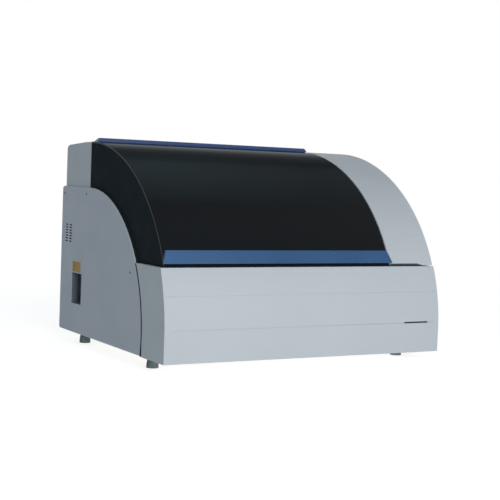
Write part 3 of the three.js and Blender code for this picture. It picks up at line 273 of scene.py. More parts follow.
def galvanised(name):
    """Zinc-plated sheet with faint spangles."""
    finish = Finish(name, (0.68, 0.7, 0.71), roughness=0.42, metallic=0.9)
    cells = finish.add("ShaderNodeTexVoronoi")
    cells.inputs["Scale"].default_value = 160.0
    finish.link(finish.place, cells.inputs["Vector"])
    shade = finish.between(cells.outputs["Color"], 0.0, 1.0)
    finish.paint_with(finish.mix(shade, (0.6, 0.62, 0.63), (0.74, 0.76, 0.77)))
    finish.blotch(amount=0.08, scale=40.0)
    return finish.material


def rubber(name):
    """Moulded rubber, dusted paler where it has been handled."""
    finish = Finish(name, (0.48, 0.53, 0.54), roughness=0.75, level=0.25)
    finish.tint(amount=0.12, scale=60.0)
    finish.grain(scale=1200.0, depth=0.08 * MM)
    return finish.material


def filled_tube(name, contents):
    """A tube seen with its contents, (colour, top) from the bottom up, whose edges waver a little."""
    waver, edge = 7 * MM, 0.4 * MM
    colours = [colour for colour, _ in contents]
    finish = Finish(name, colours[0], roughness=0.16)
    lift = finish.spread(finish.noise(scale=22.0, detail=0.0), -waver, waver)
    height = finish.math("ADD", finish.axis(finish.place, "Z"), lift)
    current = colours[0]
    for (_, top), above in zip(contents, colours[1:]):
        current = finish.mix(finish.between(height, top, top + edge), current, above)
    finish.paint_with(current)
    finish.blotch(amount=0.06, scale=60.0)
    return finish.material


def clear(name, colour):
    """Clear moulded plastic, slightly frosted by its grain."""
    finish = Finish(name, colour, roughness=0.12)
    finish.shader.inputs["Transmission Weight"].default_value = 0.55
    finish.blotch(amount=0.06, scale=80.0)
    finish.tint(amount=0.03, scale=40.0)
    return finish.material


# Clotted cells, separating gel, serum and the empty glass above them
TUBE_CONTENTS = (
    ((0.42, 0.1, 0.1), 192 * MM),
    ((0.86, 0.85, 0.78), 194 * MM),
    ((0.84, 0.71, 0.4), 216 * MM),
    ((0.86, 0.9, 0.91), 1.0),
)

materials = {
    "cover": paint("cover_paint", (0.745, 0.78, 0.80)),
    # The side paint is the cover paint made slightly darker, as painted shade on the sides.
    "side": paint("cover_paint_shaded", (0.725, 0.76, 0.79)),
    "hood": tinted_hood("hood_acrylic"),
    "cheek": moulded("cheek_moulding", (0.155, 0.185, 0.2), 0.6, level=0.005, cloud=0.01),
    "black": moulded("black_moulding", (0.12, 0.125, 0.13), 0.4, level=0.25),
    "liner": recess_liner("recess_moulding"),
    "blue": bar("blue_moulding", (0.205, 0.345, 0.505), level=0.2),
    "blue_dark": bar("blue_bar_moulding", (0.24, 0.32, 0.5), level=0.15),
    "steel": brushed("bright_steel", (0.74, 0.75, 0.76), 0.3, (1.0, 1.0, 0.05)),
    "turned": brushed("turned_aluminium", (0.78, 0.79, 0.8), 0.34, (1.0, 1.0, 0.2)),
    "sheet": galvanised("zinc_sheet"),
    "case": brushed("case_aluminium", (0.7, 0.71, 0.72), 0.4, (0.08, 1.0, 1.0)),
    "rubber": rubber("foot_rubber"),
    # Painted shade: the chassis inside the casing is dark so that vents and seams show dark.
    "inner": moulded("chassis_shade_dark", (0.2, 0.215, 0.225), 0.65, level=0.05, cloud=0.01),
    # Dark strip whose colour is painted shade in the seam above the fascia.
    "lip": moulded("seam_shade_dark", (0.25, 0.28, 0.3), 0.7, level=0.05),
    # Dark strips whose colour is painted shade in seams and under the upper bar.
    "shade_strip": moulded("shade_strip_dark", (0.13, 0.155, 0.17), 0.7, level=0.05),
    "deck": moulded("deck_moulding", (0.84, 0.85, 0.85), 0.42),
    "white": moulded("white_moulding", (0.9, 0.905, 0.9), 0.4),
    "board": moulded("solder_mask", (0.13, 0.36, 0.22), 0.35),
    "motor": moulded("motor_paint", (0.13, 0.13, 0.14), 0.42),
    "screw": brushed("screw_steel", (0.34, 0.35, 0.36), 0.38, (1.0, 1.0, 1.0)),
    "amber": moulded("amber_patch", (0.66, 0.5, 0.13), level=0.2),
    "red_cap": moulded("red_cap_moulding", (0.55, 0.13, 0.13), 0.4),
    "violet_cap": moulded("violet_cap_moulding", (0.36, 0.26, 0.5), 0.4),
    "blue_cap": moulded("blue_cap_moulding", (0.17, 0.3, 0.52), 0.4),
    "bottle": moulded("bottle_moulding", (0.87, 0.88, 0.85), 0.35),
    "cuvette": clear("cuvette_moulding", (0.88, 0.92, 0.94)),
    "ring": moulded("ring_moulding", (0.25, 0.27, 0.29), 0.4),
    "tube": filled_tube("filled_tube", TUBE_CONTENTS),
}

# Finish of every CAD node that is shown, and by how many millimetres its edges are rounded
NODE_FINISH = {
    "base_pan": ("sheet", 0.4),
    "front_fascia": ("cover", 1.2),
    "status_window": ("black", 0.3),
    "left_side_panel": ("side", 0),
    "right_side_panel": ("side", 0),
    "power_recess": ("liner", 0.5),
    "power_rocker": ("black", 0.5),
    "mains_inlet": ("black", 0.4),
    # Dark chassis: painted shade behind the vents and seams.
    "chassis_left": ("inner", 0),
    "chassis_right": ("inner", 0),
    "deck_plate": ("deck", 0.6),
    "reagent_cooler": ("white", 0.6),
    "reagent_carousel": ("turned", 0.6),
    "reagent_motor": ("motor", 1.5),
    "reaction_trough": ("black", 0.5),
    "reaction_wheel": ("turned", 0.6),
    "reaction_motor": ("motor", 1.5),
    "photometer": ("black", 1.5),
    "sample_tub": ("deck", 0.6),
    "sample_carousel": ("turned", 0.6),
    "sample_motor": ("motor", 1.5),
    "probe_housing": ("deck", 1.5),
    "probe_shaft": ("steel", 0.6),
    "probe_arm": ("white", 2.5),
    "probe_needle": ("steel", 0.2),
    "mixer_housing": ("deck", 1.5),
    "mixer_shaft": ("steel", 0.5),
    "mixer_arm": ("white", 1.8),
    "mixer_paddle": ("steel", 0.2),
    "wash_housing": ("deck", 1.2),
    "wash_head": ("white", 0.8),
    "rinse_cup": ("white", 0.6),
    "syringe_pump": ("case", 0.6),
    "syringe_plunger": ("white", 0.6),
    "power_supply": ("case", 1.0),
    "main_board": ("board", 0.2),
    "rear_panel": ("sheet", 0),
    "fan_frame": ("black", 0.8),
    "fan_rotor": ("black", 0.4),
    "connector_plate": ("black", 0.4),
    "rear_cover": ("cover", 1.4),
    "right_cowl": ("cover", 1.4),
    "hood_shell": ("hood", 1.2),
    "hood_left_cheek": ("cheek", 0.4),
    "hood_right_cheek": ("cheek", 0.4),
    "hood_lower_bar": ("blue", 1.2),
    "hood_upper_bar": ("blue_dark", 0.3),
    "hinge_base_left": ("steel", 0.3),
    "hinge_leaf_left": ("steel", 0.3),
    "hinge_base_right": ("steel", 0.3),
    "hinge_leaf_right": ("steel", 0.3),
}
NODE_FINISH |= {name: ("rubber", 1.2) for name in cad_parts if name.startswith("foot_")}
SMOOTH_BELOW = math.radians(28)
FLAT_WITHIN = math.radians(0.4)


def dress(node, finish, edge_mm):
    """Gives a CAD node its material, smooth curves and rounded edges."""
    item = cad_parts[node]
    item.data.materials.clear()
    item.data.materials.append(materials[finish])
    item.data.shade_smooth()
    item.data.set_sharp_from_angle(angle=SMOOTH_BELOW)
    if edge_mm:
        merge = item.modifiers.new("merge_faces", "DECIMATE")
        merge.decimate_type = "DISSOLVE"
        merge.angle_limit = FLAT_WITHIN
        bevel = item.modifiers.new("round_edges", "BEVEL")
        bevel.width = edge_mm * MM
        bevel.segments = 3
        bevel.limit_method = "ANGLE"
        bevel.angle_limit = SMOOTH_BELOW
        bevel.harden_normals = True


for node_name, (finish_name, edge) in NODE_FINISH.items():
    dress(node_name, finish_name, edge)


# Mesh helpers


def add_object(name, data):
    item = bpy.data.objects.new(name, data)
    bpy.context.scene.collection.objects.link(item)
    return item


def new_piece(name, body, finish, make, replaced=()):
    """A new mesh piece that rides on a body; make fills its bmesh."""
    mesh = bpy.data.meshes.new(name)
    work = bmesh.new()
    make(work)
    bmesh.ops.recalc_face_normals(work, faces=work.faces)
    work.to_mesh(mesh)
    work.free()
    mesh.materials.append(materials[finish])
    mesh.shade_smooth()
    mesh.set_sharp_from_angle(angle=SMOOTH_BELOW)
    item = add_object(name, mesh)
    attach(item, body)
    if replaced:
        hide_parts(*replaced)


def evenly(first, last, count):
    """Evenly spaced numbers from first to last, both included."""
    return [first + (last - first) * i / (count - 1) for i in range(count)]


def circle(radius, steps, shares=(1.0,)):
    """Points round a circle, whose radius is multiplied by the shares in turn."""
    points = []
    for i in range(steps):
        angle = math.tau * i / steps
        reach = radius * shares[i % len(shares)]
        points.append((reach * math.cos(angle), reach * math.sin(angle)))
    return points


def rounded(width, height, corner, steps=4):
    """Points round a rectangle about the origin, with round corners."""
    points = []
    for quarter, (side, end) in enumerate(((1, 1), (-1, 1), (-1, -1), (1, -1))):
        for i in range(steps + 1):
            angle = math.pi / 2 * (quarter + i / steps)
            x = side * (width / 2 - corner) + corner * math.cos(angle)
            y = end * (height / 2 - corner) + corner * math.sin(angle)
            points.append((x, y))
    return points


def skin(work, loops, closed=False):
    """Faces from each loop of points to the next; the first and last are capped or joined."""
    rows = [[work.verts.new(point) for point in loop] for loop in loops]
    for low, high in zip(rows, rows[1:] + rows[:1] if closed else rows[1:]):
        for i in range(len(low)):
            j = (i + 1) % len(low)
            work.faces.new((low[i], low[j], high[j], high[i]))
    if not closed:
        work.faces.new(reversed(rows[0]))
        work.faces.new(rows[-1])


def loft(work, rings, place=None, closed=False):
    """A skin through rings, each a list of flat points and the height that they lie at."""
    place = place or Matrix()
    skin(work, [[place @ Vector((x, y, z)) for x, y in points] for points, z in rings], closed)


def turned(work, profile, place=None, steps=24, closed=False):
    """Turns a profile of (radius, height) points about the place's z axis."""
    loft(work, [(circle(radius, steps), z) for radius, z in profile], place, closed)


def facing(spot, out, up=UP):
    """A place whose z axis points out of a surface and whose y axis runs up along it."""
    out, up = Vector(out).normalized(), Vector(up).normalized()
    return Matrix.Translation(spot) @ Matrix((up.cross(out), up, out)).transposed().to_4x4()


def aside(distance):
    """A shift along a place's own x axis."""
    return Matrix.Translation((distance, 0, 0))


def around(centre, radius, count, height, start=0.0):
    """Places on a circle about a vertical axis, each with its x axis pointing outward."""
    for i in range(count):
        turn = Matrix.Rotation(start + math.tau * i / count, 4, "Z")
        yield Matrix.Translation((centre.x, centre.y, height)) @ turn @ aside(radius)


def middle(node):
    low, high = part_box(node)
    return (low + high) / 2


def plate(work, place, width, height, corner, thick):
    """A thin plate on a surface, with a softened rim."""
    edge = thick * 0.3
    outer = rounded(width, height, corner)
    inner = rounded(width - 2 * edge, height - 2 * edge, corner)
    loft(work, [(outer, -edge), (outer, thick - edge), (inner, thick)], place)


def ring_plate(work, axis, inner, outer, low, high):
    """A flat ring about a vertical axis, with softened edges."""
    soft = 0.5 * MM
    profile = [
        (inner, low),
        (outer - soft, low),
        (outer, low + soft),
        (outer, high - soft),
        (outer - soft, high),
        (inner + soft, high),
        (inner, high - soft),
    ]
    turned(work, profile, Matrix.Translation((axis.x, axis.y, 0)), steps=72, closed=True)


# A screw's head as shares of its radius and rise, and its recess: a cross down to a quarter of the rise
HEAD_PROFILE = ((1.0, 0.5), (0.86, 0.9), (0.66, 1.0))
CROSS = {"radius": 0.56, "floor": 0.25, "shares": (1.0, 0.42, 0.36, 0.34, 0.36, 0.42)}
HEAD_STEPS = 24
SINK = 0.3 * MM


def screw_head(work, place, radius, rise):
    """A low round head with a cross recess, standing on the place's plane."""
    rim = [(radius, -SINK)] + [(radius * r, rise * z) for r, z in HEAD_PROFILE]
    recess = circle(radius * CROSS["radius"], HEAD_STEPS, CROSS["shares"])
    rings = [(circle(r, HEAD_STEPS), z) for r, z in rim]
    loft(work, rings + [(recess, rise), (recess, rise * CROSS["floor"])], place)


def screws(name, body, places, radius, rise, finish="screw"):
    def make(work):
        for place in places:
            screw_head(work, place, radius, rise)

    new_piece(name, body, finish, make)


# Fine pieces on the outside

# Screws in each side panel, as (y, z)
PANEL_SCREWS = ((-0.143, 0.240), (0.173, 0.436), (0.340, 0.433))
PANEL_HEAD = {"radius": 3.4 * MM, "rise": 0.5 * MM}

left_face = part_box("left_side_panel")[0].x
right_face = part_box("right_side_panel")[1].x
for side_name, face, out in (("left", left_face, LEFT), ("right", right_face, RIGHT)):
    spots = [facing((face, y, z), out) for y, z in PANEL_SCREWS]
    # Painted shade: the panel screws take the dark motor paint to show the shade in their recesses.
    screws(f"{side_name}_panel_screws", "cabinet", spots, **PANEL_HEAD, finish="motor")

PATCH_MIDDLE = (left_face, 0.231, 0.223)
PATCH = {"width": 60 * MM, "height": 30 * MM, "corner": 2 * MM, "thick": 0.4 * MM}
patch_place = facing(PATCH_MIDDLE, LEFT)
new_piece(
    "blank_amber_patch",
    "cabinet",
    "amber",
    lambda work: plate(work, patch_place, **PATCH),
)

# Dark strips as painted shade: in the seam between each flank of the fascia and its side panel, and on the
# panel's rim beside the hood. Both follow the panel's edge, a quarter of an ellipse about (centre, start).
# A section is a list of (depth behind the panel's face, reach beyond its edge) in millimetres.
SHADE_STRIP = {"centre": 146 * MM, "start": 82 * MM, "steps": 16, "gap": 0.5 * MM}
SEAM_SECTION = ((-0.35, 2.9), (-0.35, -4.0), (0.6, -4.0), (3.4, 0.0), (3.4, 2.9))
RIM_SECTION = (
    (2.2, -0.95),
    (2.6, -0.3),
    (5.0, 0.3),
    (9.2, 0.3),
    (9.2, -0.5),
    (5.0, -0.6),
    (2.6, -1.3),
)


def shade_strips(work):
    low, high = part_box("left_side_panel")
    run, rise = SHADE_STRIP["centre"] - low.y, high.z - SHADE_STRIP["start"]
    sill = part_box("front_fascia")[1].z

    def strip(section, first, last, face, side):
        loops = []
        for i in range(SHADE_STRIP["steps"] + 1):
            angle = first + (last - first) * i / SHADE_STRIP["steps"]
            loop = []
            for depth, grow in millimetres(section):
                y = SHADE_STRIP["centre"] - (run + grow) * math.cos(angle)
                z = SHADE_STRIP["start"] + (rise + grow) * math.sin(angle)
                loop.append((face + side * depth, y, z))
            loops.append(loop)
        skin(work, loops)

    at_foot = math.asin((low.z + SHADE_STRIP["gap"] - SHADE_STRIP["start"]) / rise)
    at_sill = math.asin((sill - SHADE_STRIP["gap"] - SHADE_STRIP["start"]) / rise)
    for face, side in ((left_face, 1), (right_face, -1)):
        strip(SEAM_SECTION, at_foot, at_sill, face, side)
        strip(RIM_SECTION, at_sill, math.pi / 2, face, side)


new_piece("panel_shade_strips", "cabinet", "shade_strip", shade_strips)


# The front's sweep is a quarter of an ellipse that starts at the belt. The dark strip on it, painted shade
# in the seam, is measured from the cowl's two sides and from the fascia's upper edge.
SWEEP = {"run": 528 * MM, "rise": 491 * MM, "belt": 94 * MM}
COWL_SEAM_SHADE = {
    "left": 0.3 * MM,
    "right": 34 * MM,
    "taper": 20 * MM,
    "low": 2.6 * MM,
    "high": 7.8 * MM,
    "proud": 0.3 * MM,
    "sunk": 1.5 * MM,
}


def cowl_seam_shade(work):
    """A dark strip along the cowl's foot, painted shade for the seam above the fascia."""
    low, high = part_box("right_cowl")
    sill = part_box("front_fascia")[1].z

    def ring(z, taper):
        level = (z - SWEEP["belt"]) / SWEEP["rise"]
        y = cad_bounds[0][1] + SWEEP["run"] * (1 - math.sqrt(1 - level * level))
        left, right = low.x + COWL_SEAM_SHADE["left"], high.x - COWL_SEAM_SHADE["right"] - taper
        front, back = y - COWL_SEAM_SHADE["proud"], y + COWL_SEAM_SHADE["sunk"]
        return [(left, front), (right, front), (right, back), (left, back)], z

    foot = ring(sill + COWL_SEAM_SHADE["low"], 0.0)
    head = ring(sill + COWL_SEAM_SHADE["high"], COWL_SEAM_SHADE["taper"])
    loft(work, [foot, head])


new_piece("cowl_seam_shade", "cabinet", "lip", cowl_seam_shade)

# The strip stays inset from the bar's ends. Its front and back are measured from the bar's front, and its
# foot and head down and up from the bar's underside.
BAR_GAP_SHADE = {
    "inset": 5 * MM,
    "front": 0.25 * MM,
    "back": 4 * MM,
    "below": 1.6 * MM,
    "above": 0.3 * MM,
}


def bar_gap_shade(work):
    """Closes the gap between the upper bar's front edge and the hood's crown; its dark is painted shade."""
    low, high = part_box("hood_upper_bar")
    left, right = low.x + BAR_GAP_SHADE["inset"], high.x - BAR_GAP_SHADE["inset"]
    front, back = low.y + BAR_GAP_SHADE["front"], low.y + BAR_GAP_SHADE["back"]
    corners = [(left, front), (right, front), (right, back), (left, back)]
    loft(work, [(corners, low.z - BAR_GAP_SHADE["below"]), (corners, low.z + BAR_GAP_SHADE["above"])])


new_piece("upper_bar_gap_shade", "hood", "shade_strip", bar_gap_shade)

# Marks on the rocker: a bar for on above its crease, and a ring for off below it. From the crease each
# half leans outwards to its edge.
ROCKER = {"lean": 2.5 * MM, "upper_lean": 1.25 * MM}
BAR_MARK = {"width": 0.8 * MM, "height": 3.8 * MM, "corner": 0.2 * MM, "thick": 0.12 * MM}
RING_MARK = {"inner": 1.3 * MM, "outer": 1.9 * MM, "thick": 0.12 * MM}


def rocker_marks(work):
    low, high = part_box("power_rocker")
    crease = low.x + ROCKER["lean"]
    centre = (low + high) / 2
    half = centre.z - low.z

    def on_half(lean, side):
        along = Vector((-side * lean, 0, half))
        out = Vector((-half, 0, -side * lean))
        return facing((crease - lean / 2, centre.y, centre.z + side * half / 2), out, along)

    inner, outer, thick = RING_MARK["inner"], RING_MARK["outer"], RING_MARK["thick"]
    ring = [(outer, -thick), (outer, thick), (inner, thick), (inner, -thick)]
    turned(work, ring, on_half(ROCKER["lean"], -1), closed=True)
    plate(work, on_half(ROCKER["upper_lean"], 1), **BAR_MARK)


new_piece("rocker_marks", "rocker", "white", rocker_marks)

# Rear: screws, fan guard, hose barbs and the data socket's face

rear_low, rear_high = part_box("rear_panel")
cover_low, cover_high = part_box("rear_cover")
REAR_HEAD = {"radius": 3.6 * MM, "rise": 2.2 * MM}
REAR_SCREWS = {"edge": 9 * MM, "up_a_side": 4, "along_foot": 3}
COVER_SCREWS = {"count": 5, "above": 14 * MM, "inset": 40 * MM}


def rear_places():
    """Screws down both sides of the rear panel and along its foot."""
    edge = REAR_SCREWS["edge"]
    left, right = rear_low.x + edge, rear_high.x - edge
    foot, head = rear_low.z + edge, rear_high.z - 2 * edge
    for z in evenly(foot, head, REAR_SCREWS["up_a_side"]):
        yield facing((left, rear_high.y, z), BACK)
        yield facing((right, rear_high.y, z), BACK)
    for x in evenly(left, right, REAR_SCREWS["along_foot"] + 2)[1:-1]:
        yield facing((x, rear_high.y, foot), BACK)


def cover_places():
    """A row of screws along the lip of the rear cover."""
    left, right = cover_low.x + COVER_SCREWS["inset"], cover_high.x - COVER_SCREWS["inset"]
    z = rear_high.z + COVER_SCREWS["above"]
    for x in evenly(left, right, COVER_SCREWS["count"]):
        yield facing((x, cover_high.y, z), BACK)


screws("rear_panel_screws", "cabinet", list(rear_places()), **REAR_HEAD)
screws("rear_cover_screws", "cabinet", list(cover_places()), **REAR_HEAD)

GUARD = {
    "rings": 4,
    "first": 9 * MM,
    "pitch": 11 * MM,
    "wire": 1.2 * MM,
    "wire_steps": 8,
    "leg_end": 47.4 * MM,
    "reach": 51 * MM,
    "eyelet": 3.84 * MM,
}
GUARD_HEAD = {"radius": 3 * MM, "rise": 3.4 * MM}
fan_middle = middle("fan_guard")
guard_place = facing(fan_middle, BACK)
corner_turns = [Matrix.Rotation(math.pi / 4 + math.pi / 2 * i, 4, "Z") for i in range(4)]


def wire_ring(work, place, radius, steps):
    """A closed ring of the guard's wire."""
    section = [(radius + x, z) for x, z in circle(GUARD["wire"], GUARD["wire_steps"])]
    turned(work, section, place, steps, closed=True)


def fan_guard(work):
    """Round wire rings on four legs that end in eyelets at the fan's corners."""
    leg_profile = [(GUARD["wire"], GUARD["first"]), (GUARD["wire"], GUARD["leg_end"])]
    for i in range(GUARD["rings"]):
        wire_ring(work, guard_place, GUARD["first"] + GUARD["pitch"] * i, steps=48)
    for turn in corner_turns:
        leg = guard_place @ turn @ Matrix.Rotation(math.pi / 2, 4, "Y")
        turned(work, leg_profile, leg, GUARD["wire_steps"])
        wire_ring(work, guard_place @ turn @ aside(GUARD["reach"]), GUARD["eyelet"], steps=20)


new_piece("wire_fan_guard", "cabinet", "steel", fan_guard, replaced=["fan_guard"])
fan_face = Matrix.Translation((0, rear_high.y - fan_middle.y, 0))
eyelets = [fan_face @ guard_place @ turn @ aside(GUARD["reach"]) for turn in corner_turns]
screws("fan_guard_screws", "cabinet", eyelets, **GUARD_HEAD)

PORTS = {"first": 26 * MM, "pitch": 26 * MM, "count": 4, "socket": 156 * MM, "proud": 2.8 * MM}
ports_low, ports_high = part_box("connector_plate")
ports_face = rear_high.y + PORTS["proud"]
ports_middle = (ports_low.z + ports_high.z) / 2

# (radius, height above the connector plate) in millimetres; the barb is used twice, from each start
NUT_PROFILE = ((8, -0.3), (8, 2), (7.2, 2.6))
BARB_PROFILE = ((5.1, 0), (6, 0.2), (5.2, 1.9))
BARB_STARTS = (2.4, 4.6)


def hose_barbs(work):
    """A six-sided nut and two sloping barbs on each nipple."""
    for i in range(PORTS["count"]):
        spot = (ports_low.x + PORTS["first"] + PORTS["pitch"] * i, ports_face, ports_middle)
        place = facing(spot, BACK)
        turned(work, millimetres(NUT_PROFILE), place, steps=6)
        for start in BARB_STARTS:
            turned(work, millimetres((r, start + z) for r, z in BARB_PROFILE), place)


new_piece("hose_barbs", "cabinet", "steel", hose_barbs)

# The data socket: its shell's outlines as (width, height, corner), and heights above its own foot
SOCKET = {
    "stands": 3.6 * MM,
    "outer": (22 * MM, 8 * MM, 3 * MM),
    "inner": (20.6 * MM, 6.6 * MM, 2.4 * MM),
    "sink": 0.2 * MM,
    "rise": 1.2 * MM,
    "floor": 0.3 * MM,
    "post_at": 13.6 * MM,
}
POST_PROFILE = ((2, -0.2), (2, 1), (1.2, 1.2))
PINS = {"rows": ((1.4 * MM, 5), (-1.4 * MM, 4)), "pitch": 2.8 * MM, "stands": 3.9 * MM}
PIN_PROFILE = ((0.5, -0.1), (0.5, 0.6))


def socket_shell(work):
    """The metal shell of the data socket and its two hexagonal posts."""
    spot = (ports_low.x + PORTS["socket"], ports_face + SOCKET["stands"], ports_middle)
    place = facing(spot, BACK)
    outer, inner = rounded(*SOCKET["outer"]), rounded(*SOCKET["inner"])
    foot, rim, floor = -SOCKET["sink"], SOCKET["rise"], SOCKET["floor"]
    loft(work, [(outer, foot), (outer, rim), (inner, rim), (inner, floor)], place)
    for side in (-1, 1):
        turned(work, millimetres(POST_PROFILE), place @ aside(side * SOCKET["post_at"]), steps=6)


new_piece("data_socket_shell", "cabinet", "steel", socket_shell)


def socket_pins(work):
    spot = Vector((ports_low.x + PORTS["socket"], ports_face + PINS["stands"], ports_middle))
    for row, count in PINS["rows"]:
        for i in range(count):
            across = Vector(((i - (count - 1) / 2) * PINS["pitch"], 0, row))
            turned(work, millimetres(PIN_PROFILE), facing(spot + across, BACK), steps=8)


new_piece("data_socket_pins", "cabinet", "black", socket_pins)

# Screws that hold the hinges' plates to the rear cover
HINGE_SCREWS = {"aside": 20 * MM, "from_rear": 9 * MM, "plate": 2.4 * MM}
HINGE_HEAD = {"radius": 3 * MM, "rise": 1.2 * MM}
hinge_spots = []
for hinge in ("hinge_base_left", "hinge_base_right"):
    hinge_low, hinge_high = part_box(hinge)
    hinge_middle = (hinge_low.x + hinge_high.x) / 2
    y, top = hinge_high.y - HINGE_SCREWS["from_rear"], cover_high.z + HINGE_SCREWS["plate"]
    for side in (-1, 1):
        hinge_spots.append(facing((hinge_middle + side * HINGE_SCREWS["aside"], y, top), UP, BACK))
screws("hinge_screws", "cabinet", hinge_spots, **HINGE_HEAD)

# What the open hood shows: deck screws, sample tubes, reagent bottles and cuvettes

DECK_THICK = 3 * MM
DECK_HEAD = {"radius": 3.6 * MM, "rise": 1.8 * MM}
DECK_SCREWS = (
    (-0.395, -0.275),
    (-0.12, -0.285),
    (0.03, -0.285),
    (0.395, -0.275),
    (0.39, 0.02),
    (-0.395, 0.14),
)
deck_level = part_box("deck_plate")[0].z + DECK_THICK
deck_places = [facing((x, y, deck_level), UP, BACK) for x, y in DECK_SCREWS]
screws("deck_screws", "cabinet", deck_places, **DECK_HEAD)

RIBS = (1.0, 0.95)
CAP_STEPS = 40


def ribbed_cap(cap, low, high):
    """Rings of a cap with ribbed sides and a plain lid.

    The cap's foot is (share of its radius, rise above low) and its lid (share, depth below high), with
    the shoulder between them at its full radius.
    """
    radius = cap["radius"]
    rings = [(circle(radius * share, CAP_STEPS, RIBS), low + rise) for share, rise in cap["foot"]]
    rings += [(circle(radius, CAP_STEPS, RIBS), high - cap["shoulder"])]
    return rings + [(circle(radius * share, CAP_STEPS), high - deep) for share, deep in cap["lid"]]


# Circles of tubes are (count, radius). The glass and the rack's collar are (radius, height) in millimetres.
TUBES = {"circles": ((20, 87 * MM), (14, 65 * MM)), "radius": 6.5 * MM, "in_cap": 3 * MM}
TUBE_CAP = {
    "height": 11 * MM,
    "radius": 7.4 * MM,
    "foot": ((0.93, 0.0), (1.0, 1 * MM)),
    "shoulder": 1.6 * MM,
    "lid": ((0.9, 0.4 * MM), (0.74, 0.0), (0.5, 0.0), (0.4, 1.5 * MM)),
}
GLASS_PROFILE = ((1.2, 0.0), (3.4, 0.7), (5.2, 2.3), (6.2, 4.4), (6.5, 6.6))
RACK = {"inner": 54 * MM, "outer": 96 * MM, "thick": 3 * MM, "from_top": 17 * MM}
COLLAR_PROFILE = ((6.6, -0.2), (8.6, -0.2), (8.4, 1.2), (7.8, 1.6), (6.6, 1.6))
tubes_low, tubes_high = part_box("sample_tubes")
sample_axis = middle("sample_carousel")


def tube_glass(work):
    rise = tubes_high.z - TUBE_CAP["height"] - tubes_low.z
    profile = millimetres(GLASS_PROFILE)
    profile += [(TUBES["radius"], rise), (TUBES["radius"], rise + TUBES["in_cap"])]
    for count, radius in TUBES["circles"]:
        for place in around(sample_axis, radius, count, tubes_low.z):
            turned(work, profile, place, steps=20)


def tube_caps(work, count, radius):
    """Ribbed caps with a dimple."""
    height = TUBE_CAP["height"]
    rings = ribbed_cap(TUBE_CAP, 0.0, height)
    for place in around(sample_axis, radius, count, tubes_high.z - height):
        loft(work, rings, place)


def tube_rack(work):
    """The rack ring and a collar round each tube."""
    top = tubes_high.z - RACK["from_top"]
    ring_plate(work, sample_axis, RACK["inner"], RACK["outer"], top - RACK["thick"], top)
    for count, radius in TUBES["circles"]:
        for place in around(sample_axis, radius, count, top):
            turned(work, millimetres(COLLAR_PROFILE), place, steps=20, closed=True)


new_piece(
    "tube_glass", "sample_rotor", "tube", tube_glass, replaced=["sample_tubes"]
)
new_piece("tube_rack", "sample_rotor", "ring", tube_rack)
for cap_name, cap_finish, (cap_count, cap_circle) in zip(
    ("outer_tube_caps", "inner_tube_caps"), ("red_cap", "violet_cap"), TUBES["circles"]
):
    new_piece(
        cap_name,
        "sample_rotor",
        cap_finish,
        lambda work, count=cap_count, radius=cap_circle: tube_caps(work, count, radius),
    )

# Radii are from the reagent carousel's axis. The foot's and shoulder's steps are (inset from the bottle's
# outline, height from the bottle's base or shoulder) in millimetres.
BOTTLES = {
    "count": 18,
    "inner": 58 * MM,
    "outer": 102 * MM,
    "half_angle": 0.1536,
    "corner": 4 * MM,
    "shoulder": 232 * MM,
}
BOTTLE_FOOT = ((2, 0), (0.4, 1.2), (0, 3))
BOTTLE_SHOULDER = ((0, -8), (0.6, -5), (2.2, -2.4), (4.6, -0.8), (7, 0))
BOTTLE_CAP = {
    "at": 86 * MM,
    "sunk": 0.5 * MM,
    "radius": 7.4 * MM,
    "foot": ((0.8, 0.0), (0.8, 2 * MM), (1.0, 2.4 * MM)),
    "shoulder": 1.4 * MM,
    "lid": ((0.88, 0.0), (0.7, 0.0), (0.6, 0.7 * MM)),
}
TRAY = {
    "inner": 54 * MM,
    "hub_lip": 56.5 * MM,
    "rim": 103 * MM,
    "outer": 105 * MM,
    "thick": 3 * MM,
    "hub_height": 22 * MM,
    "rim_height": 14 * MM,
    "fin": (44 * MM, 1.2 * MM, 0.5 * MM),
    "fin_foot": 1 * MM,
}
reagent_axis = middle("reagent_carousel")
bottles_low, bottles_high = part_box("reagent_bottles")
bottle_circle = (BOTTLES["inner"] + BOTTLES["outer"]) / 2


def bottle_ring(inset):
    """A bottle's outline, a rounded wedge about the carousel's axis, taken in by inset."""
    length = BOTTLES["outer"] - BOTTLES["inner"] - 2 * inset
    width = 2 * bottle_circle * BOTTLES["half_angle"] - 2 * inset
    points = []
    for x, y in rounded(length, width, BOTTLES["corner"]):
        angle = y / bottle_circle
        reach = bottle_circle + x
        points.append((reach * math.cos(angle), reach * math.sin(angle)))
    return points


def bottle_bodies(work):
    base, shoulder = bottles_low.z + TRAY["thick"], BOTTLES["shoulder"]
    steps = [(inset, base + z) for inset, z in millimetres(BOTTLE_FOOT)]
    steps += [(inset, shoulder + z) for inset, z in millimetres(BOTTLE_SHOULDER)]
    for place in around(reagent_axis, 0, BOTTLES["count"], 0):
        loft(work, [(bottle_ring(inset), z) for inset, z in steps], place)


def bottle_caps(work):
    """Ribbed caps on a narrower neck, with a dimple."""
    rings = ribbed_cap(BOTTLE_CAP, BOTTLES["shoulder"] - BOTTLE_CAP["sunk"], bottles_high.z)
    for place in around(reagent_axis, BOTTLE_CAP["at"], BOTTLES["count"], 0):
        loft(work, rings, place)


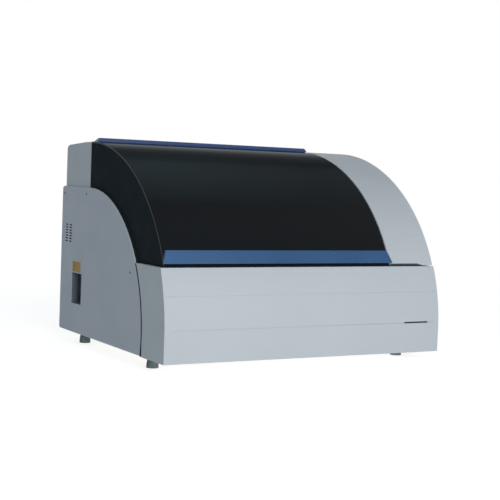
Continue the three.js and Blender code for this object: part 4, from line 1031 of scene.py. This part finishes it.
def bottle_tray(work):
    """The tray ring, with a low rim, a lip at its hub and a fin between bottles."""
    low, high = bottles_low.z, bottles_low.z + TRAY["thick"]
    inner, outer = TRAY["inner"], TRAY["outer"]
    ring_plate(work, reagent_axis, inner, outer, low, high)
    ring_plate(work, reagent_axis, inner, TRAY["hub_lip"], low, high + TRAY["hub_height"])
    ring_plate(work, reagent_axis, TRAY["rim"], outer, low, high + TRAY["rim_height"])
    fin = rounded(*TRAY["fin"])
    between = math.pi / BOTTLES["count"]
    for place in around(reagent_axis, bottle_circle, BOTTLES["count"], 0, between):
        loft(work, [(fin, low + TRAY["fin_foot"]), (fin, high + TRAY["rim_height"])], place)


new_piece(
    "bottle_bodies",
    "reagent_rotor",
    "bottle",
    bottle_bodies,
    replaced=["reagent_bottles"],
)
new_piece("bottle_caps", "reagent_rotor", "blue_cap", bottle_caps)
new_piece("bottle_tray", "reagent_rotor", "ring", bottle_tray)

CUVETTES = {
    "count": 36,
    "middle": 90 * MM,
    "length": 10 * MM,
    "width": 8 * MM,
    "wall": 0.9 * MM,
    "corner": 0.8 * MM,
}
HOLDER = {"inner": 78 * MM, "outer": 96.5 * MM, "low": 235.4 * MM, "high": 237.8 * MM}
reaction_axis = middle("reaction_wheel")
cuvettes_low, cuvettes_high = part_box("cuvette_ring")


def cuvettes(work):
    """Open square cups with thin walls."""
    low, high = cuvettes_low.z, cuvettes_high.z
    length, width, corner = CUVETTES["length"], CUVETTES["width"], CUVETTES["corner"]
    wall = CUVETTES["wall"]
    outer = rounded(length, width, corner, steps=2)
    inner = rounded(length - 2 * wall, width - 2 * wall, corner / 2, steps=2)
    for place in around(reaction_axis, CUVETTES["middle"], CUVETTES["count"], 0):
        loft(work, [(outer, low), (outer, high), (inner, high), (inner, low + wall)], place)


new_piece(
    "cuvettes", "reaction_rotor", "cuvette", cuvettes, replaced=["cuvette_ring"]
)
new_piece(
    "cuvette_holder",
    "reaction_rotor",
    "ring",
    lambda work: ring_plate(work, reaction_axis, **HOLDER),
)

# Camera, light and floor

# Fitted to the edges in the photo. The lens's axis meets the picture at centre, in pixels of its side.
CAMERA = {
    "place": (-1.692169, -2.922710, 0.501097),
    "yaw": 0.519989,
    "pitch": -0.055895,
    "roll": 0.037814,
    "lens_share": 2.330961,
    "centre": (240.299, 242.016),
    "side": 500,
    "sensor_mm": 36.0,
    "sees_to": 50,
}
KEY = {
    "place": (-0.6, -4.0, 0.75),
    "target": (0, 0, 0.25),
    "size": (2.2, 1.6),
    "power": 98,
    "colour": (1.0, 0.94, 0.93),
}
FILL = {"colour": (0.765, 0.895, 1.0, 1), "strength": 0.3}
WHITE = (1, 1, 1, 1)


def set_camera():
    yaw, pitch, roll = CAMERA["yaw"], CAMERA["pitch"], CAMERA["roll"]
    ahead = Vector(
        (math.sin(yaw) * math.cos(pitch), math.cos(yaw) * math.cos(pitch), math.sin(pitch))
    )
    level = Vector((math.cos(yaw), -math.sin(yaw), 0))
    upright = level.cross(ahead)
    right = math.cos(roll) * level + math.sin(roll) * upright
    up = math.cos(roll) * upright - math.sin(roll) * level
    turn = Matrix((right, up, -ahead)).transposed()
    data = bpy.data.cameras.new("camera")
    data.sensor_width = CAMERA["sensor_mm"]
    data.lens = CAMERA["lens_share"] * CAMERA["sensor_mm"]
    data.shift_x = 0.5 - CAMERA["centre"][0] / CAMERA["side"]
    data.shift_y = CAMERA["centre"][1] / CAMERA["side"] - 0.5
    data.clip_end = CAMERA["sees_to"]
    item = add_object("camera", data)
    item.matrix_world = Matrix.Translation(CAMERA["place"]) @ turn.to_4x4()
    bpy.context.scene.camera = item


def set_key():
    """A large, slightly warm light in front of the instrument."""
    data = bpy.data.lights.new("key", "AREA")
    data.shape = "RECTANGLE"
    data.size, data.size_y = KEY["size"]
    data.energy = KEY["power"]
    data.color = KEY["colour"]
    aim = Vector(KEY["target"]) - Vector(KEY["place"])
    turn = aim.to_track_quat("-Z", "Y").to_matrix()
    item = add_object("key", data)
    item.matrix_world = Matrix.Translation(KEY["place"]) @ turn.to_4x4()


def seen_directly(tree):
    """1 for rays from the camera, off a glossy surface or through glass, and 0 for the rest."""
    path = tree.nodes.new("ShaderNodeLightPath")
    last = path.outputs["Is Camera Ray"]
    for kind in ("Is Glossy Ray", "Is Transmission Ray"):
        either = tree.nodes.new("ShaderNodeMath")
        either.operation = "MAXIMUM"
        tree.links.new(last, either.inputs[0])
        tree.links.new(path.outputs[kind], either.inputs[1])
        last = either.outputs["Value"]
    return last


def set_world():
    """White where it is seen, and a soft, slightly cool light for everything else."""
    world = bpy.data.worlds.new("studio")
    world.use_nodes = True
    bpy.context.scene.world = world
    tree = world.node_tree
    back = tree.nodes["Background"]
    back.inputs["Color"].default_value = WHITE
    back.inputs["Strength"].default_value = 1.0
    fill = tree.nodes.new("ShaderNodeBackground")
    fill.inputs["Color"].default_value = FILL["colour"]
    fill.inputs["Strength"].default_value = FILL["strength"]
    mix = tree.nodes.new("ShaderNodeMixShader")
    tree.links.new(seen_directly(tree), mix.inputs["Fac"])
    tree.links.new(fill.outputs["Background"], mix.inputs[1])
    tree.links.new(back.outputs["Background"], mix.inputs[2])
    tree.links.new(mix.outputs["Shader"], tree.nodes["World Output"].inputs["Surface"])


# Up to near from the floor's middle its shading and glow show, and beyond far it is plain white
FLOOR = {
    "half": 6.0,
    "colour": (0.96, 0.96, 0.96),
    "roughness": 0.9,
    "glow": 0.735,
    "tone": (1.0, 0.975, 0.95, 1),
    "near": 0.8,
    "far": 2.0,
}


def set_floor():
    """A pale floor that keeps the object's shadow and fades to white away from it."""
    mesh = bpy.data.meshes.new("floor")
    work = bmesh.new()
    half = FLOOR["half"]
    corners = [(-half, -half), (half, -half), (half, half), (-half, half)]
    work.faces.new([work.verts.new((x, y, 0)) for x, y in corners])
    work.to_mesh(mesh)
    work.free()
    finish = Finish("floor_white", FLOOR["colour"], FLOOR["roughness"], level=0.0)

    def glow(strength, colour):
        node = finish.add("ShaderNodeEmission")
        node.inputs["Color"].default_value = colour
        node.inputs["Strength"].default_value = strength
        return node.outputs["Emission"]

    def blend(factor, first, second):
        node = finish.add("ShaderNodeMixShader")
        finish.link(factor, node.inputs["Fac"])
        finish.link(first, node.inputs[1])
        finish.link(second, node.inputs[2])
        return node.outputs["Shader"]

    lit = finish.shader.outputs["BSDF"]
    both = finish.add("ShaderNodeAddShader")
    finish.link(lit, both.inputs[0])
    finish.link(glow(FLOOR["glow"], FLOOR["tone"]), both.inputs[1])
    length = finish.add("ShaderNodeVectorMath", operation="LENGTH")
    finish.link(finish.place, length.inputs[0])
    away = finish.between(length.outputs["Value"], FLOOR["near"], FLOOR["far"])
    seen = blend(away, both.outputs["Shader"], glow(1.0, WHITE))
    output = finish.tree.nodes["Material Output"]
    finish.link(blend(seen_directly(finish.tree), lit, seen), output.inputs["Surface"])
    mesh.materials.append(finish.material)
    item = add_object("floor", mesh)


set_camera()
set_world()
set_floor()
set_key()
bpy.context.scene.view_settings.view_transform = "Standard"
